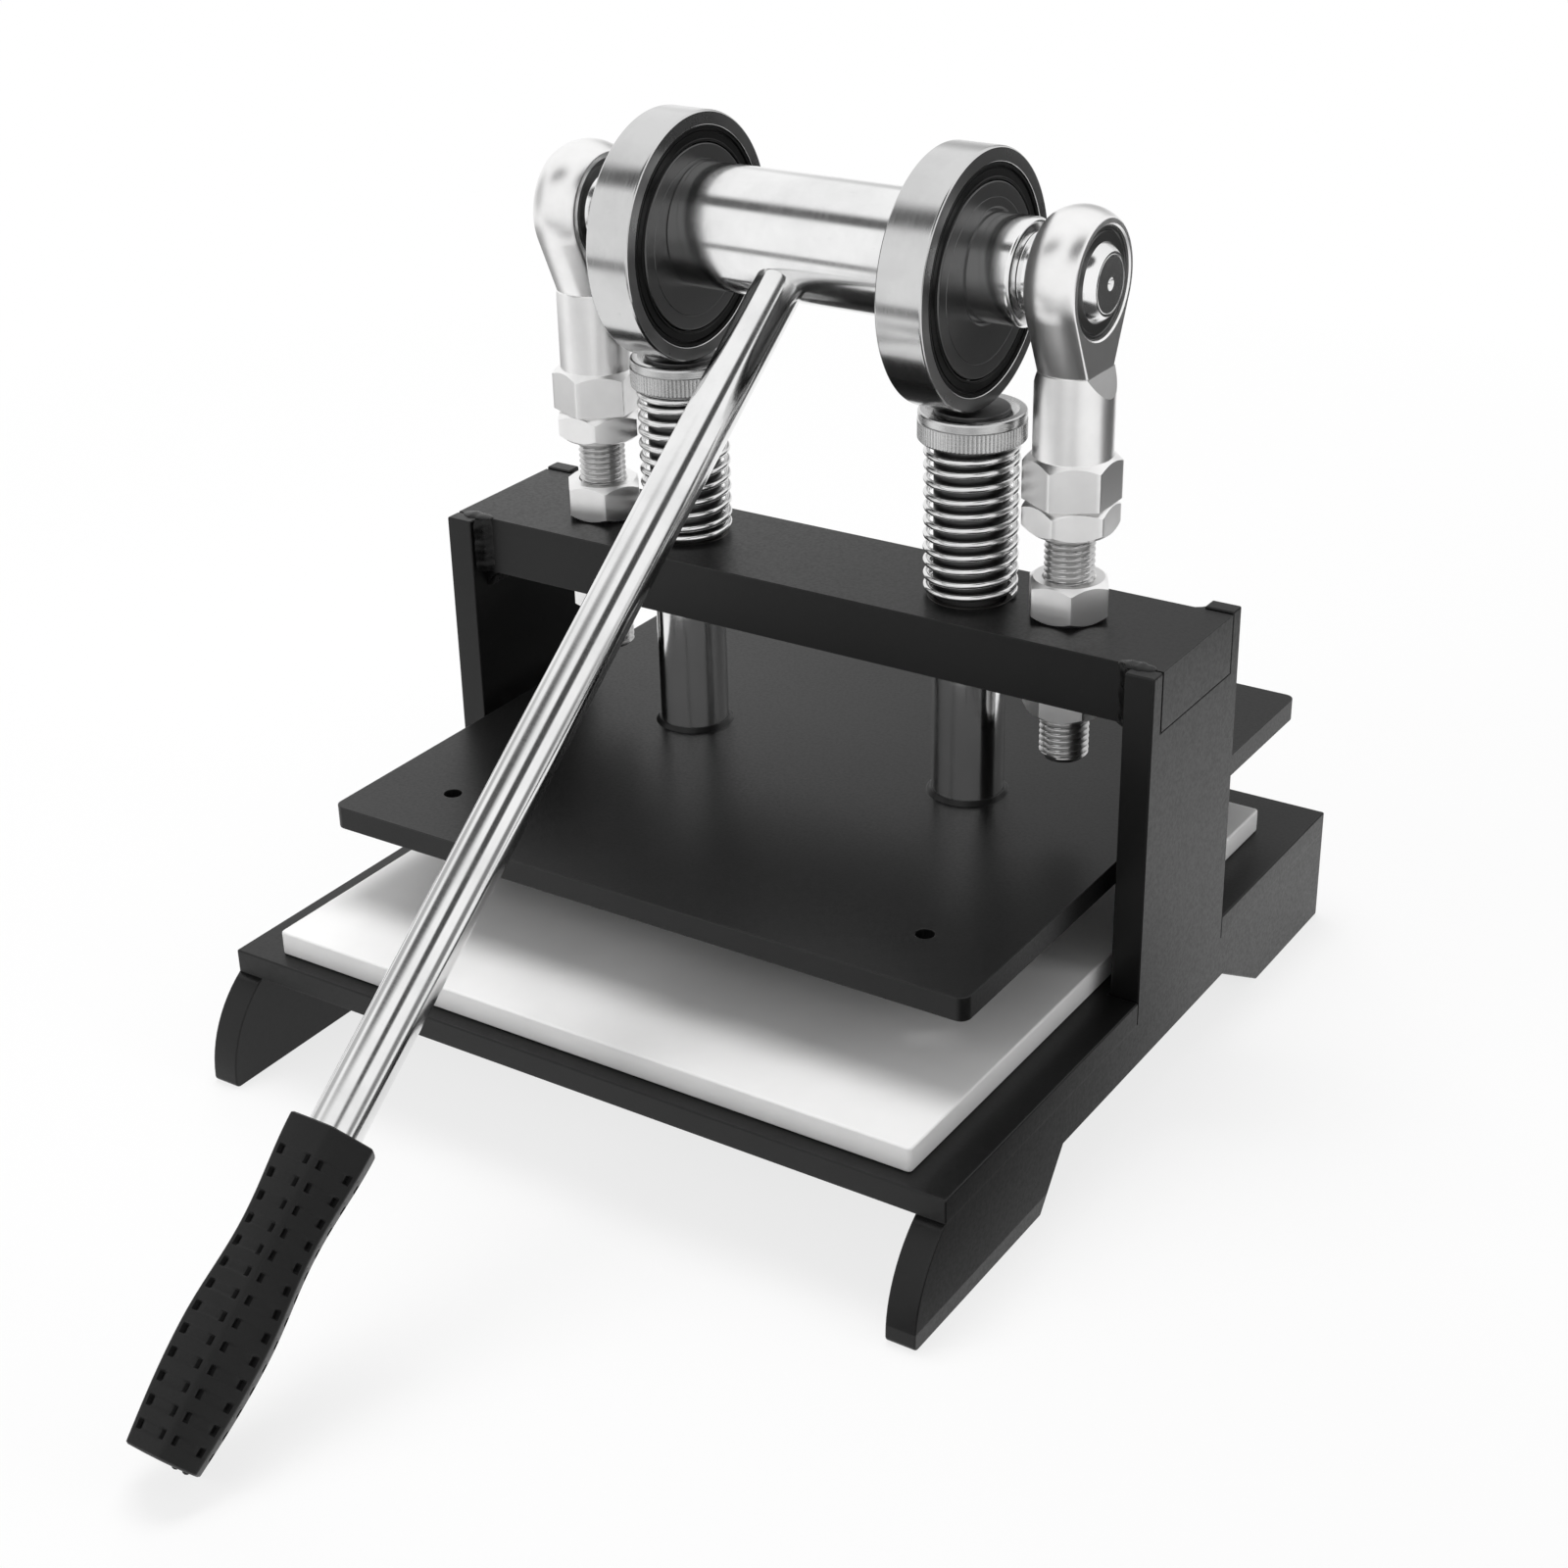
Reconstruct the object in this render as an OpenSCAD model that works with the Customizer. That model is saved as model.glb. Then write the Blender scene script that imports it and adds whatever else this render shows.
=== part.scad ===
// Bench die cutting press. A long lever turns a cam shaft, whose two ball-bearing rollers
// push a sprung platen down onto a cutting pad.
// Lengths are millimetres and angles degrees. X runs along the cam shaft, Y from the front
// to the back and Z up from the bench. The press is drawn with its lever fully down.

/* [Base] */
// Width over the two side frames
base_w = 270; // [255:1:300]
// Depth of the base plate, front to back
base_d = 275; // [262:1:320]
// Thickness of the base plate
base_t = 8; // [5:0.5:12]
// Thickness of the side frames
frame_t = 10; // [8:0.5:12]
// Height of the side frames under the base plate
foot_h = 34; // [30:0.5:45]
// How far the front feet reach out in front of the base plate
foot_reach = 17; // [8:0.5:24]
// Length of a front foot on the bench
front_foot_l = 76; // [50:1:90]
// Length of a back foot on the bench
back_foot_l = 54; // [35:1:70]
// Height of the arch between the feet
arch_h = 18; // [10:0.5:24]
// Run of the arch's steep front slope
front_slope = 14; // [6:0.5:24]
// Run of the arch's long back slope
back_slope = 31; // [16:0.5:40]
// Radius under the toe of a front foot
toe_r = 2; // [1:0.5:6]

/* [Posts and crossbar] */
// Centre line of the posts, crossbar and cam shaft, behind the front edge
axis_y = 154.5; // [145:0.5:165]
// Ears of a post before and behind the crossbar
post_ear = 6.5; // [5:0.5:10]
// Height of the crossbar's top above the base plate
post_h = 112; // [100:0.5:130]
// Depth of the crossbar, front to back
bar_d = 50; // [42:0.5:54]
// Thickness of the crossbar
bar_t = 20; // [14:0.5:24]
// How far the back ear of a post stands above the crossbar
ear_rise = 0.75; // [0.5:0.25:3]
// Seam left before and behind the crossbar in the notch of a post
bar_seam = 0.5; // [0.1:0.05:0.8]
// Leg of the weld fillets
weld_leg = 5; // [3:0.5:7]
// Seam left round a post where it passes the base plate
post_seam = 0.25; // [0.1:0.05:0.5]

/* [Cutting pad] */
// Gap between the pad and the posts
pad_side_gap = 5; // [0.5:0.5:30]
// Depth of the cutting pad
pad_d = 244; // [200:1:246]
// Thickness of the cutting pad
pad_t = 8.5; // [5:0.5:12]
// Front edge of the pad behind the front edge of the base plate
pad_inset = 6; // [2:0.5:12]
// Corner radius of the pad
pad_corner_r = 1.5; // [1:0.5:14]

/* [Platen] */
// Gap between the platen and the posts
platen_side_gap = 5; // [1:0.5:30]
// Depth of the platen
platen_d = 240; // [200:1:260]
// Thickness of the platen
platen_t = 8; // [6:0.5:12]
// Front edge of the platen behind the front edge of the base plate
platen_front = 37; // [25:1:50]
// Corner radius of the platen
platen_corner_r = 3.5; // [1:0.5:12]
// Free height between pad and platen with the lever down
die_gap = 25; // [18:0.5:30]
// Diameter of the four die holding holes in the platen
die_hole_d = 6; // [4:0.5:8]
// Die holes inside the platen's sides
die_hole_side = 29; // [15:1:40]
// Die holes inside the platen's front and back edges
die_hole_inset = 27; // [15:1:40]

/* [Guide rods and springs] */
// Diameter of the guide rods
rod_d = 24; // [20:0.5:25]
// Guide rods outside the middle of the rollers
rod_offset = 2.5; // [0:0.5:4]
// Wall of the guide bushes in the crossbar
bush_wall = 2; // [1:0.25:3]
// Radial play of the springs on the rods
spring_play = 1.2; // [1:0.1:1.6]
// Diameter of the spring wire
wire_d = 2.3; // [1.8:0.1:2.5]
// Turns of each spring
spring_turns = 11.5; // [9:0.5:12]
// Collars wider than the springs all round
collar_lip = 1.75; // [0.5:0.25:3]
// Height of the knurled collars
collar_h = 10; // [7:0.5:14]
// Rod top above the collar top
rod_proud = 0.6; // [0.4:0.1:2]
// Bead round the foot of each guide rod
rod_bead = 1.5; // [1:0.25:3]
// Diameter of the screws that hold the guide rods from below
rod_screw_d = 8; // [6:0.5:10]
// Length of these screws
rod_screw_l = 25; // [18:1:32]

/* [Studs and rod ends] */
// Studs inside the outer faces of the side frames
stud_inset = 45; // [42:0.5:47]
// Diameter of the studs
stud_d = 16; // [14:0.5:17]
// Stud length under the crossbar
stud_tail = 29; // [22:0.5:40]
// Thinnest wall of the crossbar nuts
nut_wall = 4; // [3:0.25:5]
// Height of the crossbar nuts
nut_h = 13; // [10:0.5:15]
// Bare stud between top nut and jam nut
stud_bare = 15.5; // [8:0.5:20]
// Flats of the jam nuts and rod end hexes outside the shank
hex_step = 1; // [0.25:0.25:2]
// Height of the jam nuts
jam_h = 10; // [7:0.5:12]
// Ball centre above the foot of the rod end
rod_end_l = 68.5; // [60:0.5:80]
// Wall of the rod end head round its race
head_wall = 5; // [3.5:0.25:6.5]
// Width of the rod end head
head_w = 17; // [15:0.5:18]
// Wall of the rod end shank round the stud
shank_wall = 4.5; // [3:0.25:5.5]
// Height of the hex at the foot of the rod end
rod_end_hex_h = 14.5; // [10:0.5:18]
// Thickness of the joint ball round its bore
ball_wall = 5.25; // [4.5:0.25:6]
// Flat ring left at each end of the joint ball
ball_land = 0.6; // [0.3:0.1:1.5]
// Radial play of the ball in its race
race_play = 0.05; // [0.02:0.01:0.1]

/* [Cam shaft] */
// Diameter of the cam shaft
shaft_d = 33; // [28:0.5:34]
// Diameter of the shaft ends in the rod end balls
stub_d = 18; // [14:0.5:20]
// Wall of the centre sleeve
sleeve_wall = 3.5; // [2:0.25:4.5]
// Throw of the eccentrics
cam_throw = 4.5; // [3:0.25:5.5]
// Cam angle past bottom dead centre with the lever down
cam_phase = 25; // [15:1:35]
// Rollers inside the studs, middle to middle
roller_inset = 37.5; // [33:0.5:40]
// Thinnest wall of the eccentrics
cam_wall = 4; // [2.5:0.25:6]
// Diameter of the pins that lock the eccentrics
cam_pin_d = 6; // [4:0.5:7]

/* [Rollers] */
// Thickness of the roller bearings from bore to rim
roller_section = 15; // [13:0.5:17]
// Width of the roller bearings
roller_w = 16; // [14:0.5:18]
// Wall of the bearing rings beside their grooves
ring_wall = 4.8; // [4:0.1:5.3]
// Diameter of the bearing balls
rolling_ball_d = 8.7; // [7.5:0.1:9]
// Balls in each bearing
rolling_ball_count = 13; // [9:1:14]
// Clearance between rollers and rod tops with the lever down
roller_gap = 0.5; // [0.45:0.05:1]

/* [Lever] */
// Lever angle below level when fully down
lever_tilt = 37.8; // [33:0.1:38]
// Sideways place of the lever on the shaft
lever_x = -6; // [-20:1:20]
// Diameter of the lever rod
lever_d = 16; // [12:0.5:17]
// Shaft axis to the end of the grip
lever_reach = 410; // [360:1:411]
// Length of the grip
grip_l = 97; // [80:1:120]
// Wall of the grip at its mouth
grip_mouth_wall = 4.75; // [3:0.25:6]
// Wall of the grip at its waist
grip_waist_wall = 3; // [2:0.25:5]
// Wall of the grip at its swell
grip_swell_wall = 4.6; // [3:0.1:6]
// Wall of the grip at its end
grip_end_wall = 2.35; // [2:0.05:2.5]
// Grooves along each flat of the grip
groove_count = 13; // [8:1:14]
// Width of a grip groove
groove_w = 2.6; // [1.5:0.1:3.2]
// Depth of a grip groove
groove_depth = 0.9; // [0.4:0.1:1.2]

/* [Hidden] */

// Smoothness of every round shape
$fn = 96;
// Overrun of every cut past the face that it opens
over = 1;
// Radial play between a thread and its hole, and of any push fit
thread_fit = 0.05;
// Radial play of a guide rod in its bush
slide_fit = 0.05;
// Broken edge on turned parts
edge = 1;
// Fine broken edge on bearing rings
ring_edge = 0.8;
// Points along each rounded stretch of an outline
arc_steps = 12;

// Heights above the bench
base_top = foot_h + base_t;
bar_top = base_top + post_h;
bar_bottom = bar_top - bar_t;
pad_top = base_top + pad_t;
platen_bottom = pad_top + die_gap;
platen_top = platen_bottom + platen_t;
jam_z = bar_top + nut_h + stud_bare;
rod_end_foot = jam_z + jam_h;
axis_z = rod_end_foot + rod_end_l;
roller_bore = shaft_d + 2 * (cam_throw + cam_wall);
roller_d = roller_bore + 2 * roller_section;
roller_z = axis_z - cam_throw * cos(cam_phase);
roller_y = axis_y - cam_throw * sin(cam_phase);
rod_top = roller_z - roller_d / 2 - roller_gap;
collar_top = rod_top - rod_proud;
collar_bottom = collar_top - collar_h;

// Places across the press
half_w = base_w / 2;
inner_x = half_w - frame_t;
stud_x = half_w - stud_inset;
roller_x = stud_x - roller_inset;
rod_x = roller_x + rod_offset;
pad_w = 2 * (inner_x - pad_side_gap);
platen_w = 2 * (inner_x - platen_side_gap);
die_hole_x = platen_w / 2 - die_hole_side;

// Places along the press
post_d = bar_d + 2 * post_ear;
post_front = axis_y - post_d / 2;
bar_front = axis_y - bar_d / 2;
bar_back = axis_y + bar_d / 2;

// The origin lies under the middle of the whole press, lever included
grip_end_half = lever_d / 2 + grip_end_wall;
front_most = axis_y - lever_reach * cos(lever_tilt) - grip_end_half * sin(lever_tilt);
back_most = max(base_d, platen_front + platen_d);
middle_y = (front_most + back_most) / 2;

// Leg of the heavier welds under the crossbar
under_weld_leg = 1.4 * weld_leg;

// Guide rod screw head
screw_head_d = 2 * rod_screw_d;
screw_head_h = (screw_head_d - rod_screw_d) / 2;
screw_hole_spare = 2;

// Turning of the left and right hexagons about their studs
hex_turns = [38, 30];
jam_turns = [0, 35];
top_nut_turns = [8, 0];
bottom_nut_turns = [5, 20];

// Stud depth inside the rod end, and its radial play in the crossbar
stud_grip = 22;
stud_play = 0.5;
nut_af = stud_d + 2 * nut_wall;

// Rod end: where the flats of the head run into the round shank, and the drop of its crown
web_drop = 27;
web_cone = 6;
head_crown = 3;
shank_d = stud_d + 2 * shank_wall;
jam_af = shank_d + 2 * hex_step;
ball_d = stub_d + 2 * ball_wall;
ball_w = 2 * sqrt(pow(ball_d / 2, 2) - pow(stub_d / 2 + ball_land, 2));
race_wall = 2.75;
race_r = ball_d / 2 + race_wall;
race_sink = 1;
race_w = head_w - 2 * race_sink;
head_d = 2 * (race_r + head_wall);

// Cam shaft lengths from the middle
shoulder_l = 15;
shoulder_x = roller_x + roller_w / 2 + shoulder_l;
ball_face_x = stud_x - ball_w / 2;
shaft_end_x = stud_x + ball_w / 2;
neck_d = 24;
centre_mark_d = 4;
sleeve_d = shaft_d + 2 * sleeve_wall;
spigot_step = 2;
spigot_d = lever_d - 2 * spigot_step;
spigot_l = 22;

// Roller bearing insides
inner_land_r = roller_bore / 2 + ring_wall;
outer_land_r = roller_d / 2 - ring_wall;
pitch_r = (inner_land_r + outer_land_r) / 2;
track_play = 0.1;
track_r = rolling_ball_d / 2 + track_play;
cage_wall = 2.4;
cage_w = 11.2;
pocket_play = 0.2;
seal_t = 1;
seal_sink = 0.4;
seal_lip_gap = 0.25;
cam_pin_depth = 8;

// Spring end turns lie nearly closed
seat_gap = 0.15;
end_turn_gap = 0.6;
rings_per_turn = 8;
wire_sides = 6;
spring_od = rod_d + 2 * (wire_d + spring_play);
collar_d = spring_od + 2 * collar_lip;

// Grip outline along its length
grip_from = lever_reach - grip_l;
grip_knot_shares = [0, 0.33, 0.64, 1];
grip_walls = [grip_mouth_wall, grip_waist_wall, grip_swell_wall, grip_end_wall];
grip_floor = 5;
grip_corner = 2.2;
groove_land = 2.4;
groove_draft = 0.4;
groove_first_share = 0.11;
groove_last_share = 0.93;

// Collar recess
recess_depth = 1;
recess_wall = 2.4;

// Moves a piece from bench coordinates to the press's own origin
module on_bench() {
    translate([0, -middle_y, 0]) children();
}

// The left or right one of a pair of values
function of_side(pair, side) = pair[side < 0 ? 0 : 1];

// Puts a piece on the left (-1) or right (1) side
module on_side(side, x, y, z) {
    on_bench() translate([side * x, y, z]) children();
}

// Turns a shape drawn round Z so that it lies round X
module round_x() {
    rotate([0, 90, 0]) children();
}

// Plate drawn in the Y-Z plane and made thick along X, centred on x = 0
module side_plate(thickness) {
    translate([-thickness / 2, 0, 0]) rotate([90, 0, 90]) linear_extrude(thickness) children();
}

// Drill along Z from z = 0, running past both ends
module drill(r, depth) {
    translate([0, 0, -over]) cylinder(r = r, h = depth + 2 * over);
}

// Drill along Z from z = 0 upward to a flat bottom
module blind_drill(r, depth) {
    translate([0, 0, -over]) cylinder(r = r, h = depth + over);
}

// Ring between two radii, round Z, centred on z = 0, with broken outer and inner edges
module ring(r_in, r_out, width, outer_edge, inner_edge) {
    rotate_extrude() polygon([
        [r_in, -width / 2 + inner_edge],
        [r_in + inner_edge, -width / 2],
        [r_out - outer_edge, -width / 2],
        [r_out, -width / 2 + outer_edge],
        [r_out, width / 2 - outer_edge],
        [r_out - outer_edge, width / 2],
        [r_in + inner_edge, width / 2],
        [r_in, width / 2 - inner_edge],
    ]);
}

// Solid bar round Z from z = 0 with broken edges
module bar(r, length, chamfer) {
    rotate_extrude() polygon([
        [0, 0],
        [r - chamfer, 0],
        [r, chamfer],
        [r, length - chamfer],
        [r - chamfer, length],
        [0, length],
    ]);
}

// Flat rectangle with rounded corners
module rounded_rect(w, d, r) {
    translate([-w / 2 + r, 0]) square([w - 2 * r, d]);
    translate([-w / 2, r]) square([w, d - 2 * r]);
    for (x = [-w / 2 + r, w / 2 - r], y = [r, d - r]) translate([x, y]) circle(r = r);
}

// Hexagon bar round Z from z = 0, its corners turned off at the chosen ends
module hex_bar(af, h, bottom_cut, top_cut) {
    corner_r = af / 2 / cos(30);
    drop = (corner_r - af / 2) * tan(30);
    intersection() {
        cylinder(r = corner_r, h = h, $fn = 6);
        rotate_extrude() polygon([
            [0, 0],
            [bottom_cut ? af / 2 : corner_r + over, 0],
            [corner_r + over, bottom_cut ? drop + over * tan(30) : 0],
            [corner_r + over, top_cut ? h - drop - over * tan(30) : h],
            [top_cut ? af / 2 : corner_r + over, h],
            [0, h],
        ]);
    }
}

// Hexagon nut on a thread, from z = 0
module nut(af, h, thread_d, turn) {
    difference() {
        rotate([0, 0, turn]) hex_bar(af, h, true, true);
        drill(thread_d / 2 + thread_fit, h);
    }
}

// Outline of a side frame in Y and Z: rail with two feet, post and the notch for the crossbar
module side_frame_outline() {
    toe_h = foot_h - toe_r;
    toe_curve_r = (foot_reach * foot_reach + toe_h * toe_h) / (2 * foot_reach);
    toe_from = acos((foot_reach - toe_curve_r) / toe_curve_r);
    toe_curve = [
        for (i = [0:arc_steps])
            let (a = toe_from + (180 - toe_from) * i / arc_steps)
            [toe_curve_r - foot_reach + toe_curve_r * cos(a), toe_r + toe_curve_r * sin(a)]
    ];
    toe_corner = [
        for (i = [1:arc_steps])
            let (a = 180 + 90 * i / arc_steps)
            [toe_r - foot_reach + toe_r * cos(a), toe_r + toe_r * sin(a)]
    ];
    arch_front = front_foot_l - foot_reach;
    arch_back = base_d - back_foot_l;
    difference() {
        union() {
            polygon(concat(toe_curve, toe_corner, [[base_d, 0], [base_d, foot_h]]));
            translate([post_front, foot_h - over]) square([post_d, over + base_t + post_h]);
            translate([bar_back, bar_top - over]) square([(post_d - bar_d) / 2, over + ear_rise]);
        }
        polygon([
            [arch_front, -over], [arch_front, 0], [arch_front + front_slope, arch_h],
            [arch_back - back_slope, arch_h], [arch_back, 0], [arch_back, -over],
        ]);
        translate([bar_front - bar_seam, bar_bottom])
            square([bar_d + 2 * bar_seam, bar_t + ear_rise + over]);
    }
}

module side_frame(side) {
    color([0.12, 0.12, 0.12])
        on_side(side, half_w - frame_t / 2, 0, 0)
        side_plate(frame_t) side_frame_outline();
}

module base_plate() {
    notch_w = frame_t + post_seam;
    color([0.1, 0.1, 0.1]) on_bench() difference() {
        translate([-half_w, 0, foot_h]) cube([base_w, base_d, base_t]);
        for (side = [-1, 1])
            translate([side * (half_w - notch_w / 2 + over / 2) - (notch_w + over) / 2,
                       post_front - post_seam, foot_h - over])
            cube([notch_w + over, post_d + 2 * post_seam, base_t + 2 * over]);
    }
}

module crossbar() {
    bush_r = rod_d / 2 + bush_wall;
    color([0.1, 0.1, 0.1]) on_bench() difference() {
        translate([-half_w, bar_front, bar_bottom]) cube([base_w, bar_d, bar_t]);
        for (side = [-1, 1]) {
            translate([side * rod_x, axis_y, bar_bottom]) drill(bush_r, bar_t);
            translate([side * stud_x, axis_y, bar_bottom]) drill(stud_d / 2 + stud_play, bar_t);
        }
    }
}

// Hollow weld fillet along Z from z = 0, in the corner of the +X and +Y directions
module weld_fillet(leg, length) {
    hollow_r = leg * 0.9;
    linear_extrude(length) polygon(concat(
        [[0, 0], [leg, 0]],
        [for (i = [0:arc_steps]) let (a = 270 - 90 * i / arc_steps)
            [leg + hollow_r * cos(a), leg + hollow_r * sin(a)]],
        [[0, leg]]
    ));
}

module weld_beads() {
    stitch_l = base_d / 8;
    color([0.08, 0.08, 0.08]) on_bench() for (side = [0, 1]) mirror([side, 0, 0]) {
        // Upright fillets where the crossbar meets the posts
        translate([-inner_x, bar_front, bar_bottom]) mirror([0, 1, 0]) weld_fillet(weld_leg, bar_t);
        translate([-inner_x, bar_back, bar_bottom]) weld_fillet(weld_leg, bar_t);
        // Level fillets under the crossbar
        translate([-inner_x, bar_back, bar_bottom]) rotate([90, 0, 0]) mirror([0, 1, 0])
            weld_fillet(under_weld_leg, bar_d);
        // Stitches under the base plate
        for (share = [0.06, 0.44, 0.82])
            translate([-inner_x, base_d * share + stitch_l, foot_h]) rotate([90, 0, 0]) mirror([0, 1, 0])
            weld_fillet(weld_leg, stitch_l);
    }
}

module cutting_pad() {
    color([0.96, 0.96, 0.95]) on_bench() translate([0, pad_inset, base_top])
        linear_extrude(pad_t) rounded_rect(pad_w, pad_d, pad_corner_r);
}

// Plate with a bead round the foot of each guide rod
module platen() {
    bead_r = rod_d / 2 + rod_bead;
    bead_top_r = rod_d / 2 + rod_bead / 3;
    color([0.1, 0.1, 0.1]) on_bench() difference() {
        union() {
            translate([0, platen_front, platen_bottom])
                linear_extrude(platen_t) rounded_rect(platen_w, platen_d, platen_corner_r);
            for (side = [-1, 1]) translate([side * rod_x, axis_y, platen_top - over])
                cylinder(r1 = bead_r + over, r2 = bead_top_r, h = rod_bead + over);
        }
        for (side = [-1, 1]) translate([side * rod_x, axis_y, platen_bottom]) {
            translate([0, 0, platen_t]) cylinder(r = rod_d / 2, h = rod_bead + over);
            drill(rod_screw_d / 2 + thread_fit, platen_t);
            translate([0, 0, -over])
                cylinder(r1 = screw_head_d / 2 + over, r2 = rod_screw_d / 2, h = screw_head_h + over);
        }
        for (x = [-1, 1], y = [die_hole_inset, platen_d - die_hole_inset])
            translate([x * die_hole_x, platen_front + y, platen_bottom])
            drill(die_hole_d / 2, platen_t);
    }
}

// Countersunk screws that hold the guide rods from under the platen
module platen_screws() {
    socket_d = 0.55 * rod_screw_d;
    color([0.3, 0.3, 0.3]) for (side = [-1, 1]) on_side(side, rod_x, axis_y, platen_bottom) difference() {
        union() {
            cylinder(r1 = screw_head_d / 2, r2 = rod_screw_d / 2, h = screw_head_h);
            cylinder(r = rod_screw_d / 2, h = rod_screw_l);
        }
        translate([0, 0, -over]) cylinder(r = socket_d / 2, h = 0.6 * screw_head_h + over, $fn = 6);
    }
}

module guide_rod(side) {
    color([0.8, 0.8, 0.82]) on_side(side, rod_x, axis_y, platen_top) difference() {
        bar(rod_d / 2, rod_top - platen_top, edge / 2);
        blind_drill(rod_screw_d / 2 + thread_fit, rod_screw_l - platen_t + screw_hole_spare);
    }
}

module guide_bush(side) {
    color([0.7, 0.55, 0.3]) on_side(side, rod_x, axis_y, bar_bottom + bar_t / 2)
        ring(rod_d / 2 + slide_fit, rod_d / 2 + bush_wall, bar_t, edge / 4, edge / 4);
}

module collar(side) {
    recess_top_r = rod_d / 2 + recess_wall * (1 + over / recess_depth);
    color([0.75, 0.75, 0.76]) on_side(side, rod_x, axis_y, collar_bottom) difference() {
        bar(collar_d / 2, collar_h, edge);
        drill(rod_d / 2, collar_h);
        translate([0, 0, collar_h - recess_depth])
            cylinder(r1 = rod_d / 2, r2 = recess_top_r, h = recess_depth + over);
    }
}

// Spring: height of the wire's centre after so many turns
spring_h = collar_bottom - bar_top - 2 * seat_gap;
end_pitch = wire_d + end_turn_gap;
coil_r = (spring_od - wire_d) / 2;
open_pitch = (spring_h - wire_d - 2 * end_pitch) / (spring_turns - 2);
function wire_rise(turn) =
    wire_d / 2 + end_pitch * min(turn, 1)
    + open_pitch * max(0, min(turn, spring_turns - 1) - 1)
    + end_pitch * max(0, turn - spring_turns + 1);
ring_total = round(spring_turns * rings_per_turn);
wire_line = [
    for (i = [0:ring_total])
        let (a = 360 * i / rings_per_turn)
        [coil_r * cos(a), coil_r * sin(a), wire_rise(i / rings_per_turn)]
];
wire_gap = min([
    for (i = [0:ring_total - rings_per_turn / 2], j = [i + rings_per_turn / 2:ring_total])
        norm(wire_line[i] - wire_line[j]) - wire_d
]);

// Closed tube of triangles through a row of equal rings of points
module tube_of(rings) {
    sides = len(rings[0]);
    last = len(rings) - 1;
    points = [for (r = rings, p = r) p];
    walls = [
        for (i = [0:last - 1], k = [0:sides - 1])
            let (n = (k + 1) % sides, a = i * sides, b = a + sides)
            each [[a + k, a + n, b + n], [a + k, b + n, b + k]]
    ];
    caps = [
        for (k = [1:sides - 2])
            each [[0, k + 1, k], [last * sides, last * sides + k, last * sides + k + 1]]
    ];
    polyhedron(points = points, faces = [for (f = concat(walls, caps)) [f[2], f[1], f[0]]]);
}

module spring(side) {
    wire_rings = [
        for (i = [0:ring_total])
            let (a = 360 * i / rings_per_turn, outward = [cos(a), sin(a), 0])
            [for (k = [0:wire_sides - 1])
                let (b = 360 * (k + 0.5) / wire_sides)
                wire_line[i] + wire_d / 2 * (cos(b) * outward + sin(b) * [0, 0, 1])]
    ];
    echo(str(side < 0 ? "left" : "right", " spring, least gap between turns in mm: ", wire_gap));
    color([0.78, 0.78, 0.8]) on_side(side, rod_x, axis_y, bar_top + seat_gap)
        rotate([0, 0, side < 0 ? 180 : 0]) tube_of(wire_rings);
}

module stud(side) {
    color([0.7, 0.7, 0.7]) on_side(side, stud_x, axis_y, bar_bottom - stud_tail)
        bar(stud_d / 2, rod_end_foot + stud_grip - bar_bottom + stud_tail, edge);
}

module top_nut(side) {
    color([0.8, 0.8, 0.8]) on_side(side, stud_x, axis_y, bar_top)
        nut(nut_af, nut_h, stud_d, of_side(top_nut_turns, side));
}

module bottom_nut(side) {
    color([0.8, 0.8, 0.8]) on_side(side, stud_x, axis_y, bar_bottom - nut_h)
        nut(nut_af, nut_h, stud_d, of_side(bottom_nut_turns, side));
}

module jam_nut(side) {
    color([0.8, 0.8, 0.8]) on_side(side, stud_x, axis_y, jam_z)
        nut(jam_af, jam_h, stud_d, of_side(jam_turns, side));
}

// Rod end, drawn round its ball centre with the shank hanging down
module rod_end(side) {
    head_r = head_d / 2;
    rim_r = head_r - head_crown;
    web_r = rim_r - edge / 2;
    shank_r = shank_d / 2;
    touch = atan2(web_drop, shank_r) - acos(web_r / norm([shank_r, web_drop]));
    crown_r = (pow(head_w / 2, 2) + pow(head_crown, 2)) / (2 * head_crown);
    crown_half = asin(head_w / 2 / crown_r);
    crown = [
        for (i = [-arc_steps:arc_steps])
            let (a = crown_half * i / arc_steps)
            [head_r - crown_r + crown_r * cos(a), crown_r * sin(a)]
    ];
    color([0.72, 0.72, 0.72]) on_side(side, stud_x, axis_y, axis_z) difference() {
        union() {
            round_x() rotate_extrude()
                polygon(concat([[race_r, -head_w / 2]], crown, [[race_r, head_w / 2]]));
            difference() {
                side_plate(head_w) polygon([
                    [-web_r * cos(touch), -web_r * sin(touch)],
                    [web_r * cos(touch), -web_r * sin(touch)],
                    [shank_r, -web_drop],
                    [-shank_r, -web_drop],
                ]);
                round_x() cylinder(r = (race_r + rim_r) / 2, h = 2 * head_w, center = true);
            }
            translate([0, 0, -web_drop]) cylinder(r1 = shank_r, r2 = head_w / 2, h = web_cone);
            translate([0, 0, -rod_end_l + rod_end_hex_h - over])
                cylinder(r = shank_r, h = rod_end_l - rod_end_hex_h + over - web_drop);
            translate([0, 0, -rod_end_l]) rotate([0, 0, of_side(hex_turns, side)])
                hex_bar(jam_af, rod_end_hex_h, false, true);
        }
        round_x() cylinder(r = race_r, h = 2 * head_w, center = true);
        translate([0, 0, -rod_end_l]) blind_drill(stud_d / 2 + thread_fit, stud_grip + edge);
    }
}

// Race pressed into the rod end head
module race(side) {
    color([0.5, 0.45, 0.35]) on_side(side, stud_x, axis_y, axis_z) round_x() difference() {
        cylinder(r = race_r, h = race_w, center = true);
        sphere(r = ball_d / 2 + race_play);
    }
}

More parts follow.
